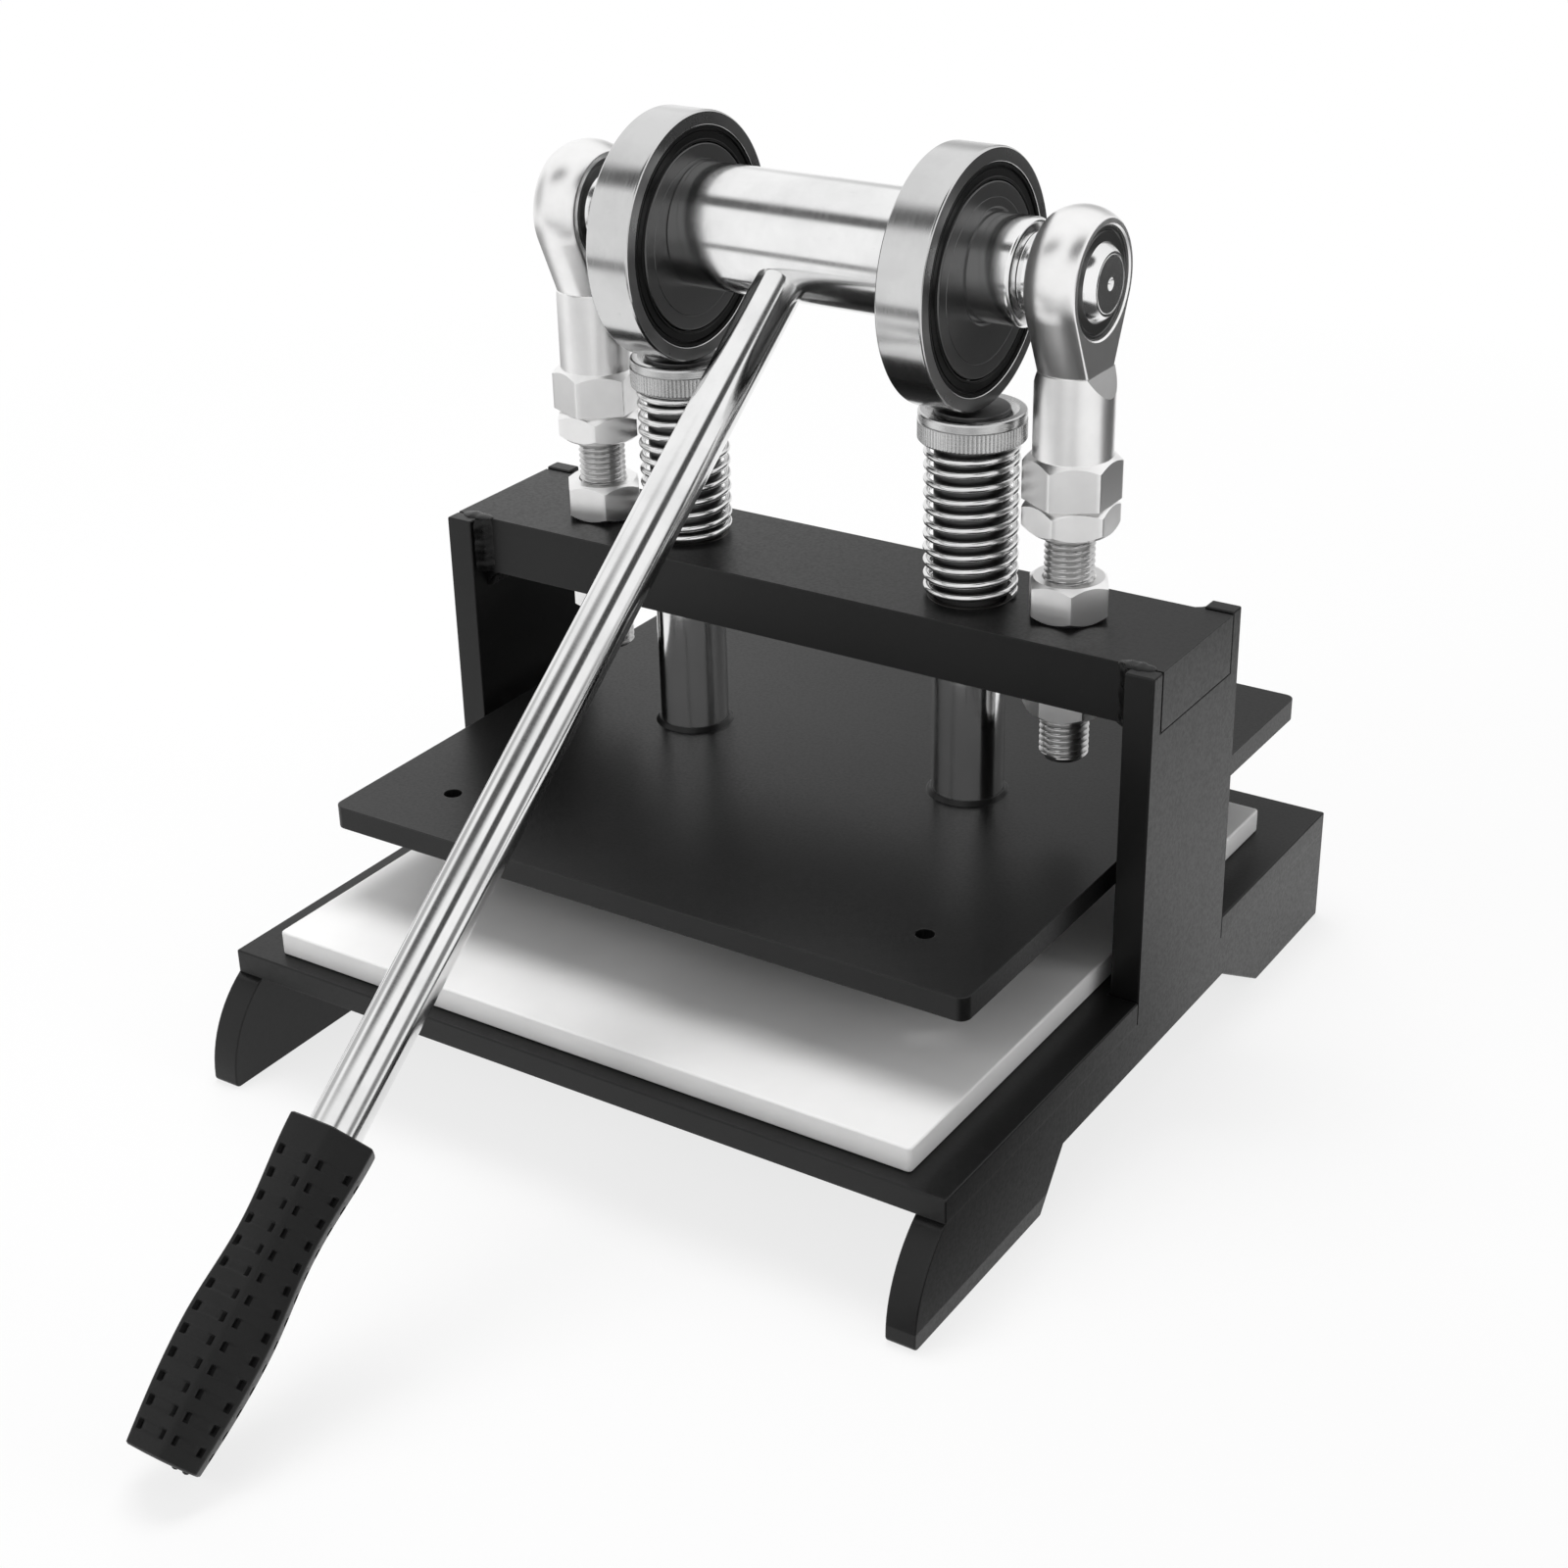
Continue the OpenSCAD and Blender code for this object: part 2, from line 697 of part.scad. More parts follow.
module joint_ball(side) {
    color([0.75, 0.75, 0.77]) on_side(side, stud_x, axis_y, axis_z) round_x() difference() {
        intersection() {
            sphere(r = ball_d / 2);
            cylinder(r = ball_d, h = ball_w, center = true);
        }
        cylinder(r = stub_d / 2, h = 2 * ball_w, center = true);
    }
}

// Cam shaft, with shoulders, necks and centre-drilled ends
module cam_shaft() {
    stub_r = stub_d / 2;
    color([0.78, 0.78, 0.8]) on_bench() translate([0, axis_y, axis_z]) difference() {
        round_x() rotate_extrude() polygon(concat(
            [[0, -shaft_end_x]],
            [[stub_r - edge / 2, -shaft_end_x], [stub_r, -shaft_end_x + edge / 2], [stub_r, -ball_face_x]],
            [[neck_d / 2, -ball_face_x], [neck_d / 2, -shoulder_x], [shaft_d / 2 - edge, -shoulder_x]],
            [[shaft_d / 2, -shoulder_x + edge], [shaft_d / 2, shoulder_x - edge]],
            [[shaft_d / 2 - edge, shoulder_x], [neck_d / 2, shoulder_x], [neck_d / 2, ball_face_x]],
            [[stub_r, ball_face_x], [stub_r, shaft_end_x - edge / 2], [stub_r - edge / 2, shaft_end_x]],
            [[0, shaft_end_x]]
        ));
        for (side = [-1, 1]) {
            translate([side * shaft_end_x, 0, 0]) rotate([0, -side * 90, 0])
                blind_drill(centre_mark_d / 2, centre_mark_d / 2);
            translate([side * roller_x, 0, 0]) cam_pin_line() translate([0, 0, shaft_d / 2 - cam_pin_depth])
                cylinder(r = cam_pin_d / 2, h = cam_pin_depth + over);
        }
        lever_line() translate([0, 0, shaft_d / 2 - spigot_l])
            cylinder(r = spigot_d / 2 + thread_fit, h = spigot_l + over);
    }
}

// Turns +Z to the direction in which the lever points
module lever_line() {
    translate([lever_x, 0, 0]) rotate([90 + lever_tilt, 0, 0]) children();
}

// Turns +Z to the direction of the cam's throw
module cam_pin_line() {
    rotate([180 - cam_phase, 0, 0]) children();
}

module centre_sleeve() {
    sleeve_l = 2 * roller_x - roller_w;
    color([0.82, 0.82, 0.84]) on_bench() translate([0, axis_y, axis_z]) difference() {
        round_x() ring(shaft_d / 2, sleeve_d / 2, sleeve_l, edge / 4, edge / 4);
        lever_line() cylinder(r = lever_d / 2 + thread_fit, h = sleeve_d);
    }
}

module eccentric(side) {
    color([0.25, 0.25, 0.25]) on_bench() difference() {
        translate([side * roller_x, roller_y, roller_z]) round_x()
            cylinder(r = roller_bore / 2, h = roller_w, center = true);
        translate([side * roller_x, axis_y, axis_z]) {
            round_x() cylinder(r = shaft_d / 2, h = 2 * roller_w, center = true);
            cam_pin_line() cylinder(r = cam_pin_d / 2, h = roller_bore);
        }
    }
}

// Pins through the thick side of the eccentrics into the shaft
module eccentric_pins() {
    pin_l = roller_bore / 2 + cam_throw - shaft_d / 2 + cam_pin_depth - edge / 2;
    color([0.5, 0.5, 0.5]) for (side = [-1, 1]) on_side(side, roller_x, axis_y, axis_z)
        cam_pin_line() translate([0, 0, shaft_d / 2 - cam_pin_depth]) bar(cam_pin_d / 2, pin_l, edge / 4);
}

// Places a bearing part round the centre of a roller
module on_roller(side) {
    on_side(side, roller_x, roller_y, roller_z) round_x() children();
}

// Groove in which the balls run
module ball_track() {
    rotate_extrude() translate([pitch_r, 0]) circle(r = track_r, $fn = 48);
}

module inner_ring(side) {
    color([0.3, 0.3, 0.3]) on_roller(side) difference() {
        ring(roller_bore / 2, inner_land_r, roller_w, ring_edge / 2, ring_edge / 2);
        ball_track();
    }
}

module outer_ring(side) {
    color([0.7, 0.7, 0.71]) on_roller(side) difference() {
        ring(outer_land_r, roller_d / 2, roller_w, ring_edge, ring_edge / 2);
        ball_track();
    }
}

module bearing_balls(side) {
    color([0.85, 0.85, 0.87]) on_roller(side) for (i = [0:rolling_ball_count - 1])
        rotate([0, 0, 360 * i / rolling_ball_count]) translate([pitch_r, 0, 0])
        sphere(r = rolling_ball_d / 2, $fn = 32);
}

module cage(side) {
    color([0.6, 0.5, 0.25]) on_roller(side) difference() {
        ring(pitch_r - cage_wall / 2, pitch_r + cage_wall / 2, cage_w, edge / 5, edge / 5);
        for (i = [0:rolling_ball_count - 1])
            rotate([0, 0, 360 * i / rolling_ball_count]) translate([pitch_r - cage_wall, 0, 0]) round_x()
            cylinder(r = rolling_ball_d / 2 + pocket_play, h = 2 * cage_wall);
    }
}

// The two rubber seals of a roller bearing
module seals(side) {
    color([0.05, 0.05, 0.05]) on_roller(side) for (face = [-1, 1])
        translate([0, 0, face * (roller_w / 2 - seal_sink - seal_t / 2)])
        ring(inner_land_r + seal_lip_gap, outer_land_r, seal_t, 0, 0);
}

module lever_rod() {
    shoulder = shaft_d / 2;
    rod_end_at = lever_reach - grip_floor;
    color([0.8, 0.8, 0.82]) on_bench() translate([0, axis_y, axis_z]) lever_line() {
        translate([0, 0, shoulder]) bar(lever_d / 2, rod_end_at - shoulder, edge);
        translate([0, 0, shoulder - spigot_l + edge]) bar(spigot_d / 2, spigot_l, edge);
    }
}

// Half the grip's width across flats at a share of its length
function grip_half(share) =
    let (
        i = share < grip_knot_shares[1] ? 0 : share < grip_knot_shares[2] ? 1 : 2,
        along = (share - grip_knot_shares[i]) / (grip_knot_shares[i + 1] - grip_knot_shares[i]),
        bend = i == 2 ? 1 - cos(90 * along) : (1 - cos(180 * along)) / 2
    )
    lever_d / 2 + grip_walls[i] + (grip_walls[i + 1] - grip_walls[i]) * bend;

// One ring of the grip: six flats, each with its middle sunk by the given depth
function grip_ring(z, depth) =
    let (
        half = grip_half(z / grip_l),
        side_half = half * tan(30),
        stops = [-side_half + grip_corner / 2, -side_half + groove_land, side_half - groove_land,
                 side_half - grip_corner / 2],
        sinks = [0, depth, depth, 0]
    )
    [for (face = [0:5], s = [0:3])
        let (a = 30 + 60 * face, r = half - sinks[s])
        [r * cos(a) - stops[s] * sin(a), r * sin(a) + stops[s] * cos(a), z]];

groove_step = (groove_last_share - groove_first_share) * grip_l / (groove_count - 1);
grip_rings = concat(
    [grip_ring(0, 0)],
    [for (i = [0:groove_count - 1])
        let (mid = groove_first_share * grip_l + i * groove_step)
        each [
            grip_ring(mid - groove_w / 2, 0),
            grip_ring(mid - groove_w / 2 + groove_draft, groove_depth),
            grip_ring(mid + groove_w / 2 - groove_draft, groove_depth),
            grip_ring(mid + groove_w / 2, 0),
        ]],
    [grip_ring(grip_l, 0)]
);

module grip() {
    color([0.07, 0.07, 0.07]) on_bench() translate([0, axis_y, axis_z]) lever_line()
        translate([0, 0, grip_from]) difference() {
            tube_of(grip_rings);
            blind_drill(lever_d / 2, grip_l - grip_floor);
        }
}

base_plate();
side_frame(-1);  // left_side_frame
side_frame(1);  // right_side_frame
crossbar();
weld_beads();
cutting_pad();
platen();
platen_screws();
guide_rod(-1);  // left_guide_rod
guide_rod(1);  // right_guide_rod
guide_bush(-1);  // left_guide_bush
guide_bush(1);  // right_guide_bush
spring(-1);  // left_spring
spring(1);  // right_spring
collar(-1);  // left_collar
collar(1);  // right_collar
stud(-1);  // left_stud
stud(1);  // right_stud
top_nut(-1);  // left_top_nut
top_nut(1);  // right_top_nut
bottom_nut(-1);  // left_bottom_nut
bottom_nut(1);  // right_bottom_nut
jam_nut(-1);  // left_jam_nut
jam_nut(1);  // right_jam_nut
rod_end(-1);  // left_rod_end
rod_end(1);  // right_rod_end
race(-1);  // left_race
race(1);  // right_race
joint_ball(-1);  // left_joint_ball
joint_ball(1);  // right_joint_ball
cam_shaft();
centre_sleeve();
eccentric(-1);  // left_eccentric
eccentric(1);  // right_eccentric
eccentric_pins();
inner_ring(-1);  // left_inner_ring
inner_ring(1);  // right_inner_ring
outer_ring(-1);  // left_outer_ring
outer_ring(1);  // right_outer_ring
bearing_balls(-1);  // left_bearing_balls
bearing_balls(1);  // right_bearing_balls
cage(-1);  // left_cage
cage(1);  // right_cage
seals(-1);  // left_seals
seals(1);  // right_seals
lever_rod();
grip();
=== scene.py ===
"""Bench die cutting press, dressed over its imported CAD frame.

Shapes are written in millimetres, in the frame's own axes, and become metres in mesh_object. The stage, the
lamps and the camera are placed in metres.
"""
import math

import bmesh
import bpy
from mathutils import Matrix, Vector, noise
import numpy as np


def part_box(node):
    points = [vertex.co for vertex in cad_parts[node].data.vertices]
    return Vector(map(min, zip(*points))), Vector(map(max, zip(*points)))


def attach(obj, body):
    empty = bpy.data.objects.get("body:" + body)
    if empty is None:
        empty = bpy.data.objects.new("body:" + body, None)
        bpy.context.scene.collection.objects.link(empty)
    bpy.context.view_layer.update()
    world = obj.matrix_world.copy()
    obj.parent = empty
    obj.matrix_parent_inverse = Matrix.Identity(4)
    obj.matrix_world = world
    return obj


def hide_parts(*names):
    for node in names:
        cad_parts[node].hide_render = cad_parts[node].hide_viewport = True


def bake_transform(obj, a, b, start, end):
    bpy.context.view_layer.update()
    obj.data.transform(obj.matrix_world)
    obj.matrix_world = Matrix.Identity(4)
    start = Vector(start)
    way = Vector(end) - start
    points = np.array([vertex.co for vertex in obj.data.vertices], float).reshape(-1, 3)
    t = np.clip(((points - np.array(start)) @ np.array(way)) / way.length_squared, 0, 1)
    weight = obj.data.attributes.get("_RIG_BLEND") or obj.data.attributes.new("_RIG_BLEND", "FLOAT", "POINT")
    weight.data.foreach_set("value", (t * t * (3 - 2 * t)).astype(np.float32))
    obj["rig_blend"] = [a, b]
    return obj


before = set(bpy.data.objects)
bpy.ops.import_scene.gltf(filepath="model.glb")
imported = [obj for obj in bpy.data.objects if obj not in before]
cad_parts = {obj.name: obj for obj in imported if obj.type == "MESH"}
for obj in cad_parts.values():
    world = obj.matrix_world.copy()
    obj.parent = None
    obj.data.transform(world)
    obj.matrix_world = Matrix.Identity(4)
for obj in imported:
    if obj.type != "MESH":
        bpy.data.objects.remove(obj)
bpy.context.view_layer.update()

MM = 0.001
TAU = 2 * math.pi
SIDES = {"left": -1, "right": 1}
X_AXIS = Vector((1, 0, 0))
Z_AXIS = Vector((0, 0, 1))
WHITE = (1, 1, 1, 1)
collection = bpy.context.scene.collection


def box_of(node):
    """Lowest corner, highest corner and middle of a CAD node in millimetres."""
    low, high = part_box(node)
    return low / MM, high / MM, (low + high) / 2 / MM


# Camera: its place, angles and lens are fitted to the photograph by least squares

YAW, PITCH, ROLL = math.radians(33.39), math.radians(26.80), math.radians(-1.27)
CAMERA_AT = Vector((0.42486, -0.568066, 0.4729))
LENS_MM, SENSOR_MM = 59.2, 36
forward = Vector((-math.sin(YAW) * math.cos(PITCH), math.cos(YAW) * math.cos(PITCH), -math.sin(PITCH)))
level = Vector((math.cos(YAW), math.sin(YAW), 0))
upward = level.cross(forward)
camera_x = level * math.cos(ROLL) + upward * math.sin(ROLL)
camera_y = -level * math.sin(ROLL) + upward * math.cos(ROLL)
camera_data = bpy.data.cameras.new("camera")
camera_data.sensor_width = SENSOR_MM
camera_data.lens = LENS_MM
camera_data.clip_start = 0.01
camera = bpy.data.objects.new("camera", camera_data)
camera.matrix_world = Matrix((
    (camera_x.x, camera_y.x, -forward.x, CAMERA_AT.x),
    (camera_x.y, camera_y.y, -forward.y, CAMERA_AT.y),
    (camera_x.z, camera_y.z, -forward.z, CAMERA_AT.z),
    (0, 0, 0, 1),
))
collection.objects.link(camera)
bpy.context.scene.camera = camera


# Shader nodes; radii and depths are in millimetres

def add(tree, kind, settings=None, **inputs):
    """A shader node with its settings, and its inputs set or linked; i0, i1 ... name inputs by number."""
    made = tree.nodes.new("ShaderNode" + kind)
    for key, value in (settings or {}).items():
        setattr(made, key, value)
    for key, value in inputs.items():
        numbered = key[0] == "i" and key[1:].isdigit()
        socket = made.inputs[int(key[1:])] if numbered else made.inputs[key.replace("_", " ")]
        if isinstance(value, bpy.types.NodeSocket):
            tree.links.new(value, socket)
        else:
            socket.default_value = value
    return made


def new_tree(name):
    """An empty material and its node tree."""
    made = bpy.data.materials.new(name)
    made.use_nodes = True
    made.node_tree.nodes.clear()
    return made, made.node_tree


def finish_tree(tree, **inputs):
    """The surface shader with these inputs, as the material's output."""
    shader = add(tree, "BsdfPrincipled", **inputs)
    add(tree, "OutputMaterial", Surface=shader.outputs[0])


def remap(tree, value, span, to=(0.0, 1.0)):
    """A value's span mapped to another one, and held there beyond its ends."""
    return add(tree, "MapRange", {"clamp": True}, Value=value, From_Min=span[0], From_Max=span[1],
               To_Min=to[0], To_Max=to[1]).outputs[0]


def mix(tree, share, first, second):
    """Mix of two colours."""
    return add(tree, "Mix", {"data_type": "RGBA"}, i0=share, i6=first, i7=second).outputs[2]


def combine(tree, operation, first, second):
    """Result of a math operation on two values."""
    return add(tree, "Math", {"operation": operation}, i0=first, i1=second).outputs[0]


def length_of(tree, vector):
    return add(tree, "VectorMath", {"operation": "LENGTH"}, i0=vector).outputs["Value"]


def noise_of(tree, coords, scale, detail=3.0, rough=0.5):
    return add(tree, "TexNoise", Vector=coords, Scale=scale, Detail=detail, Roughness=rough).outputs[0]


def bump_of(tree, height, push, depth):
    return add(tree, "Bump", Strength=push, Distance=depth * MM, Height=height).outputs[0]


def object_coords(tree):
    return add(tree, "TexCoord").outputs["Object"]


def grey(tone, warmth=0.0):
    return (tone * (1 + warmth), tone, tone * (1 - warmth), 1)


def edge_wear_and_highlight(tree, radius, strength=1.0):
    """Bright along edges, as wear and as painted highlight: where the rounded normal departs from the true
    one.
    """
    unworn, worn = 0.995, 0.86
    rounded = add(tree, "Bevel", {"samples": 6}, Radius=radius * MM).outputs[0]
    plain = add(tree, "NewGeometry").outputs["Normal"]
    same = add(tree, "VectorMath", {"operation": "DOT_PRODUCT"}, i0=rounded, i1=plain).outputs["Value"]
    return remap(tree, same, (unworn, worn), (0.0, strength))


def shown_rays(tree):
    """1 for camera, glossy and transmission rays, 0 for the rays that light the object."""
    paths = add(tree, "LightPath")
    shown = combine(tree, "MAXIMUM", paths.outputs["Is Camera Ray"], paths.outputs["Is Glossy Ray"])
    return combine(tree, "MAXIMUM", shown, paths.outputs["Is Transmission Ray"])


# Materials

def coated(name, tone, tone_light, rough, edge_tone, grain=900.0, push=0.05):
    """Satin powder coat: fine orange peel, cloudy tone, a little dust, edges lightened as wear and painted
    highlight.
    """
    made, tree = new_tree(name)
    coords = object_coords(tree)
    clouds = noise_of(tree, coords, scale=14.0, detail=4.0)
    peel = noise_of(tree, coords, scale=grain, detail=2.0)
    dust = noise_of(tree, coords, scale=260.0, detail=5.0, rough=0.7)
    colour = mix(tree, remap(tree, clouds, (0.35, 0.68)), grey(tone), grey(tone_light))
    colour = mix(tree, remap(tree, dust, (0.60, 0.78), (0.0, 0.15)), colour, grey(edge_tone))
    patchy = remap(tree, clouds, (0.30, 0.70), (0.35, 1.0))
    # Lighter edges: wear, and painted highlight.
    worn_and_highlit = combine(tree, "MULTIPLY", edge_wear_and_highlight(tree, 1.1), patchy)
    colour = mix(tree, worn_and_highlit, colour, grey(edge_tone))
    roughness = remap(tree, peel, (0.3, 0.7), (rough - 0.05, rough + 0.07))
    finish_tree(tree, Base_Color=colour, Roughness=roughness, Normal=bump_of(tree, peel, push, depth=0.3),
                Specular_IOR_Level=0.30)
    return made


def turned(name, tone, rough, direction, across=70.0, along=5200.0, anisotropic=0.0, warmth=0.0):
    """Turned or ground steel: fine lines round the given direction, faint handling marks."""
    made, tree = new_tree(name)
    coords = object_coords(tree)
    turn = direction.rotation_difference(Z_AXIS).to_euler()
    laid = add(tree, "Mapping", Vector=coords, Rotation=turn).outputs[0]
    stretched = add(tree, "Mapping", Vector=laid, Scale=(across, across, along)).outputs[0]
    lines = noise_of(tree, stretched, scale=1.0, rough=0.6)
    cloud = noise_of(tree, coords, scale=38.0, detail=5.0, rough=0.6)
    spots = noise_of(tree, coords, scale=420.0, detail=4.0, rough=0.75)
    colour = mix(tree, remap(tree, cloud, (0.38, 0.70)), grey(tone, warmth), grey(tone * 0.88, warmth))
    colour = mix(tree, remap(tree, spots, (0.66, 0.80), (0.0, 0.35)), colour, grey(tone * 0.55))
    roughness = combine(tree, "ADD", remap(tree, lines, (0.3, 0.7), (rough * 0.75, rough * 1.25)),
                        remap(tree, cloud, (0.45, 0.75), (0.0, 0.08)))
    finish_tree(tree, Base_Color=colour, Metallic=1.0, Roughness=roughness,
                Normal=bump_of(tree, lines, 0.035, depth=0.1), Anisotropic=anisotropic)
    return made


def plated(name, tone, rough, warmth=0.0):
    """Zinc plate or bare steel without turning lines: cloudy, slightly grainy, brighter edges as wear and
    painted highlight.
    """
    made, tree = new_tree(name)
    coords = object_coords(tree)
    cloud = noise_of(tree, coords, scale=90.0, detail=4.0, rough=0.55)
    fine = noise_of(tree, coords, scale=900.0, rough=0.6)
    colour = mix(tree, remap(tree, cloud, (0.30, 0.75)), grey(tone, warmth), grey(tone * 0.92, warmth))
    # Brighter edges: wear, and painted highlight.
    colour = mix(tree, edge_wear_and_highlight(tree, 0.5, 0.7), colour, grey(min(1.0, tone * 1.2)))
    roughness = combine(tree, "ADD", remap(tree, fine, (0.3, 0.7), (rough * 0.93, rough * 1.07)),
                        remap(tree, cloud, (0.4, 0.7), (0.0, 0.03)))
    finish_tree(tree, Base_Color=colour, Metallic=1.0, Roughness=roughness,
                Normal=bump_of(tree, fine, 0.010, depth=0.2))
    return made


def moulded(name, tone, tone_light, rough, grain, push, edge_tone, warmth=0.0, sheen=0.0, shine=0.5):
    """Moulded rubber or plastic with a fine grain and paler edges, as wear and painted highlight."""
    made, tree = new_tree(name)
    coords = object_coords(tree)
    cloud = noise_of(tree, coords, scale=40.0, detail=4.0)
    fine = noise_of(tree, coords, scale=grain, rough=0.6)
    colour = mix(tree, remap(tree, cloud, (0.35, 0.68)), grey(tone, warmth), grey(tone_light, warmth))
    # Paler edges: wear, and painted highlight.
    colour = mix(tree, edge_wear_and_highlight(tree, 0.8, 0.8), colour, grey(edge_tone, warmth))
    roughness = remap(tree, fine, (0.3, 0.7), (rough - 0.06, rough + 0.06))
    finish_tree(tree, Base_Color=colour, Roughness=roughness, Normal=bump_of(tree, fine, push, depth=0.2),
                Sheen_Weight=sheen, Specular_IOR_Level=shine)
    return made


LEVER_TILT = math.radians(37.8)
LEVER_WAY = Vector((0, -math.cos(LEVER_TILT), -math.sin(LEVER_TILT)))

POWDER = coated("powder_coat", tone=0.0045, tone_light=0.0075, rough=0.34, edge_tone=0.030)
WELD = coated("weld_coat", tone=0.004, tone_light=0.006, rough=0.30, edge_tone=0.020, grain=500.0, push=0.16)
PAD_WHITE = moulded("pad_white", tone=0.84, tone_light=0.88, rough=0.42, grain=600.0, push=0.05,
                    edge_tone=0.91, warmth=0.004)
CHROME_UPRIGHT = turned("ground_upright", 0.86, 0.12, Z_AXIS)
CHROME_LEVEL = turned("ground_level", 0.90, 0.14, X_AXIS)
CHROME_LEVER = turned("ground_lever", 0.88, 0.11, LEVER_WAY)
RING_STEEL = turned("bearing_steel", 0.66, 0.17, X_AXIS, anisotropic=0.3)
# Rougher turned steel for the bearings' side faces, darkened as painted shade.
RING_SIDE_TURNED_AND_SHADED = turned("bearing_side_turned_painted_shade", 0.20, 0.30, X_AXIS, along=700.0)
DARK_STEEL = plated("dark_steel", 0.12, 0.36)
COLLAR_STEEL = turned("collar_steel", 0.66, 0.24, Z_AXIS)
# Near-black steel for the guide rods inside the bar and the springs: painted shade.
SHADED_UPRIGHT_STEEL = turned("upright_painted_shade", 0.10, 0.34, Z_AXIS)
SPRING_STEEL = turned("spring_wire", 0.80, 0.14, Z_AXIS, across=500.0, along=500.0)
ZINC = plated("zinc", 0.95, 0.30, warmth=0.004)
ZINC_THREAD = plated("zinc_thread", 0.60, 0.30, warmth=0.004)
# Bronze darkened near black, so that the guide bushes' rims at the springs' feet stay dark.
BRONZE = turned("near_black_bronze", 0.07, 0.36, X_AXIS, warmth=0.06)
SEAL = moulded("seal_rubber", tone=0.002, tone_light=0.003, rough=0.34, grain=900.0, push=0.03,
               edge_tone=0.006, shine=0.15)
GRIP = moulded("grip_rubber", tone=0.005, tone_light=0.009, rough=0.50, grain=1400.0, push=0.12,
               edge_tone=0.014, sheen=0.03, shine=0.28)
# Near-black rubber for the deep ends of the grip's grooves: painted shade.
GRIP_GROOVE_SHADE = moulded("grip_groove_painted_shade", tone=0.0015, tone_light=0.003, rough=0.60, grain=1400.0, push=0.12,
                    edge_tone=0.004, shine=0.15)


# Shapes: each is a list of points and a list of faces

def basis(direction):
    """Two directions square to the given one, and that one."""
    way = Vector(direction).normalized()
    first = Vector((1, 0, 0)) if abs(way.x) < 0.5 else Vector((0, 1, 0))
    first = (first - first.dot(way) * way).normalized()
    return first, way.cross(first), way


def lathe(profile, centre, direction, closed=False, segments=96, shape=None):
    """(radius, along) stations turned round a direction; shape moves each point's radius and along."""
    first, second, way = basis(direction)
    centre = Vector(centre)
    points, rings, faces = [], [], []
    for radius, along in profile:
        if radius < 1e-6:
            rings.append([len(points)])
            points.append(centre + way * along)
            continue
        ring = []
        for k in range(segments):
            angle = TAU * k / segments
            r, t = shape(radius, along, angle) if shape else (radius, along)
            ring.append(len(points))
            points.append(centre + way * t + first * (r * math.cos(angle)) + second * (r * math.sin(angle)))
        rings.append(ring)
    for a, b in zip(rings, rings[1:] + ([rings[0]] if closed else [])):
        if len(a) == len(b) == 1:
            continue
        for k in range(segments):
            n = (k + 1) % segments
            if len(a) == 1:
                faces.append((a[0], b[n], b[k]))
            elif len(b) == 1:
                faces.append((a[k], a[n], b[0]))
            else:
                faces.append((a[k], a[n], b[n], b[k]))
    return points, faces


def fillet(points, radii, steps=4, closed=False):
    """A flat outline with its corners rounded; radii is one number or one for each point."""
    straight = math.pi - 0.02
    longest_share = 0.49
    corners = [Vector(p) for p in points]
    radii = radii if isinstance(radii, (list, tuple)) else [radii] * len(corners)
    out = []
    for i, (point, radius) in enumerate(zip(corners, radii)):
        if radius <= 0 or (not closed and i in (0, len(corners) - 1)):
            out.append(point)
            continue
        to_last, to_next = corners[i - 1] - point, corners[(i + 1) % len(corners)] - point
        u, v = to_last.normalized(), to_next.normalized()
        angle = math.acos(max(-1.0, min(1.0, u.dot(v))))
        if angle > straight:
            out.append(point)
            continue
        longest = longest_share * min(to_last.length, to_next.length)
        reach = min(radius / math.tan(angle / 2), longest)
        actual = reach * math.tan(angle / 2)
        centre = point + (u + v).normalized() * actual / math.sin(angle / 2)
        start, end = point + u * reach - centre, point + v * reach - centre
        sweep = start.angle(end)
        for s in range(steps + 1):
            share = s / steps
            arm = (start * math.sin((1 - share) * sweep) + end * math.sin(share * sweep)) / math.sin(sweep)
            out.append(centre + arm)
    return out


def mirrored(half_profile):
    """(radius, along) stations followed by the same ones mirrored, in reverse."""
    return half_profile + [(p[0], -p[1]) for p in reversed(half_profile)]


def tube(rings, closed_ends=True):
    """Skin over equal rings of points."""
    count = len(rings[0])
    points = [p for ring in rings for p in ring]
    faces = []
    for i in range(len(rings) - 1):
        for k in range(count):
            n = (k + 1) % count
            faces.append((i * count + k, i * count + n, (i + 1) * count + n, (i + 1) * count + k))
    if closed_ends:
        last = (len(rings) - 1) * count
        faces.append(tuple(range(count))[::-1])
        faces.append(tuple(range(last, last + count)))
    return points, faces


def joined(*parts):
    """Several shapes as one."""
    points, faces = [], []
    for part_points, part_faces in parts:
        start = len(points)
        points += part_points
        faces += [tuple(start + i for i in face) for face in part_faces]
    return points, faces


def prism(outline, y_from, y_to):
    """Outline in X and Z made thick along Y."""
    count = len(outline)
    points = [Vector((p[0], y, p[1])) for y in (y_from, y_to) for p in outline]
    faces = [tuple(range(count)), tuple(range(count, 2 * count))[::-1]]
    faces += [(i, i + count, (i + 1) % count + count, (i + 1) % count) for i in range(count)]
    return points, faces


# Objects

def linked(name, mesh):
    made = bpy.data.objects.new(name, mesh)
    collection.objects.link(made)
    return made


def shade(mesh, sharp):
    """Smooth shading, but for edges sharper than this angle in degrees."""
    mesh.shade_smooth()
    mesh.set_sharp_from_angle(angle=math.radians(sharp))


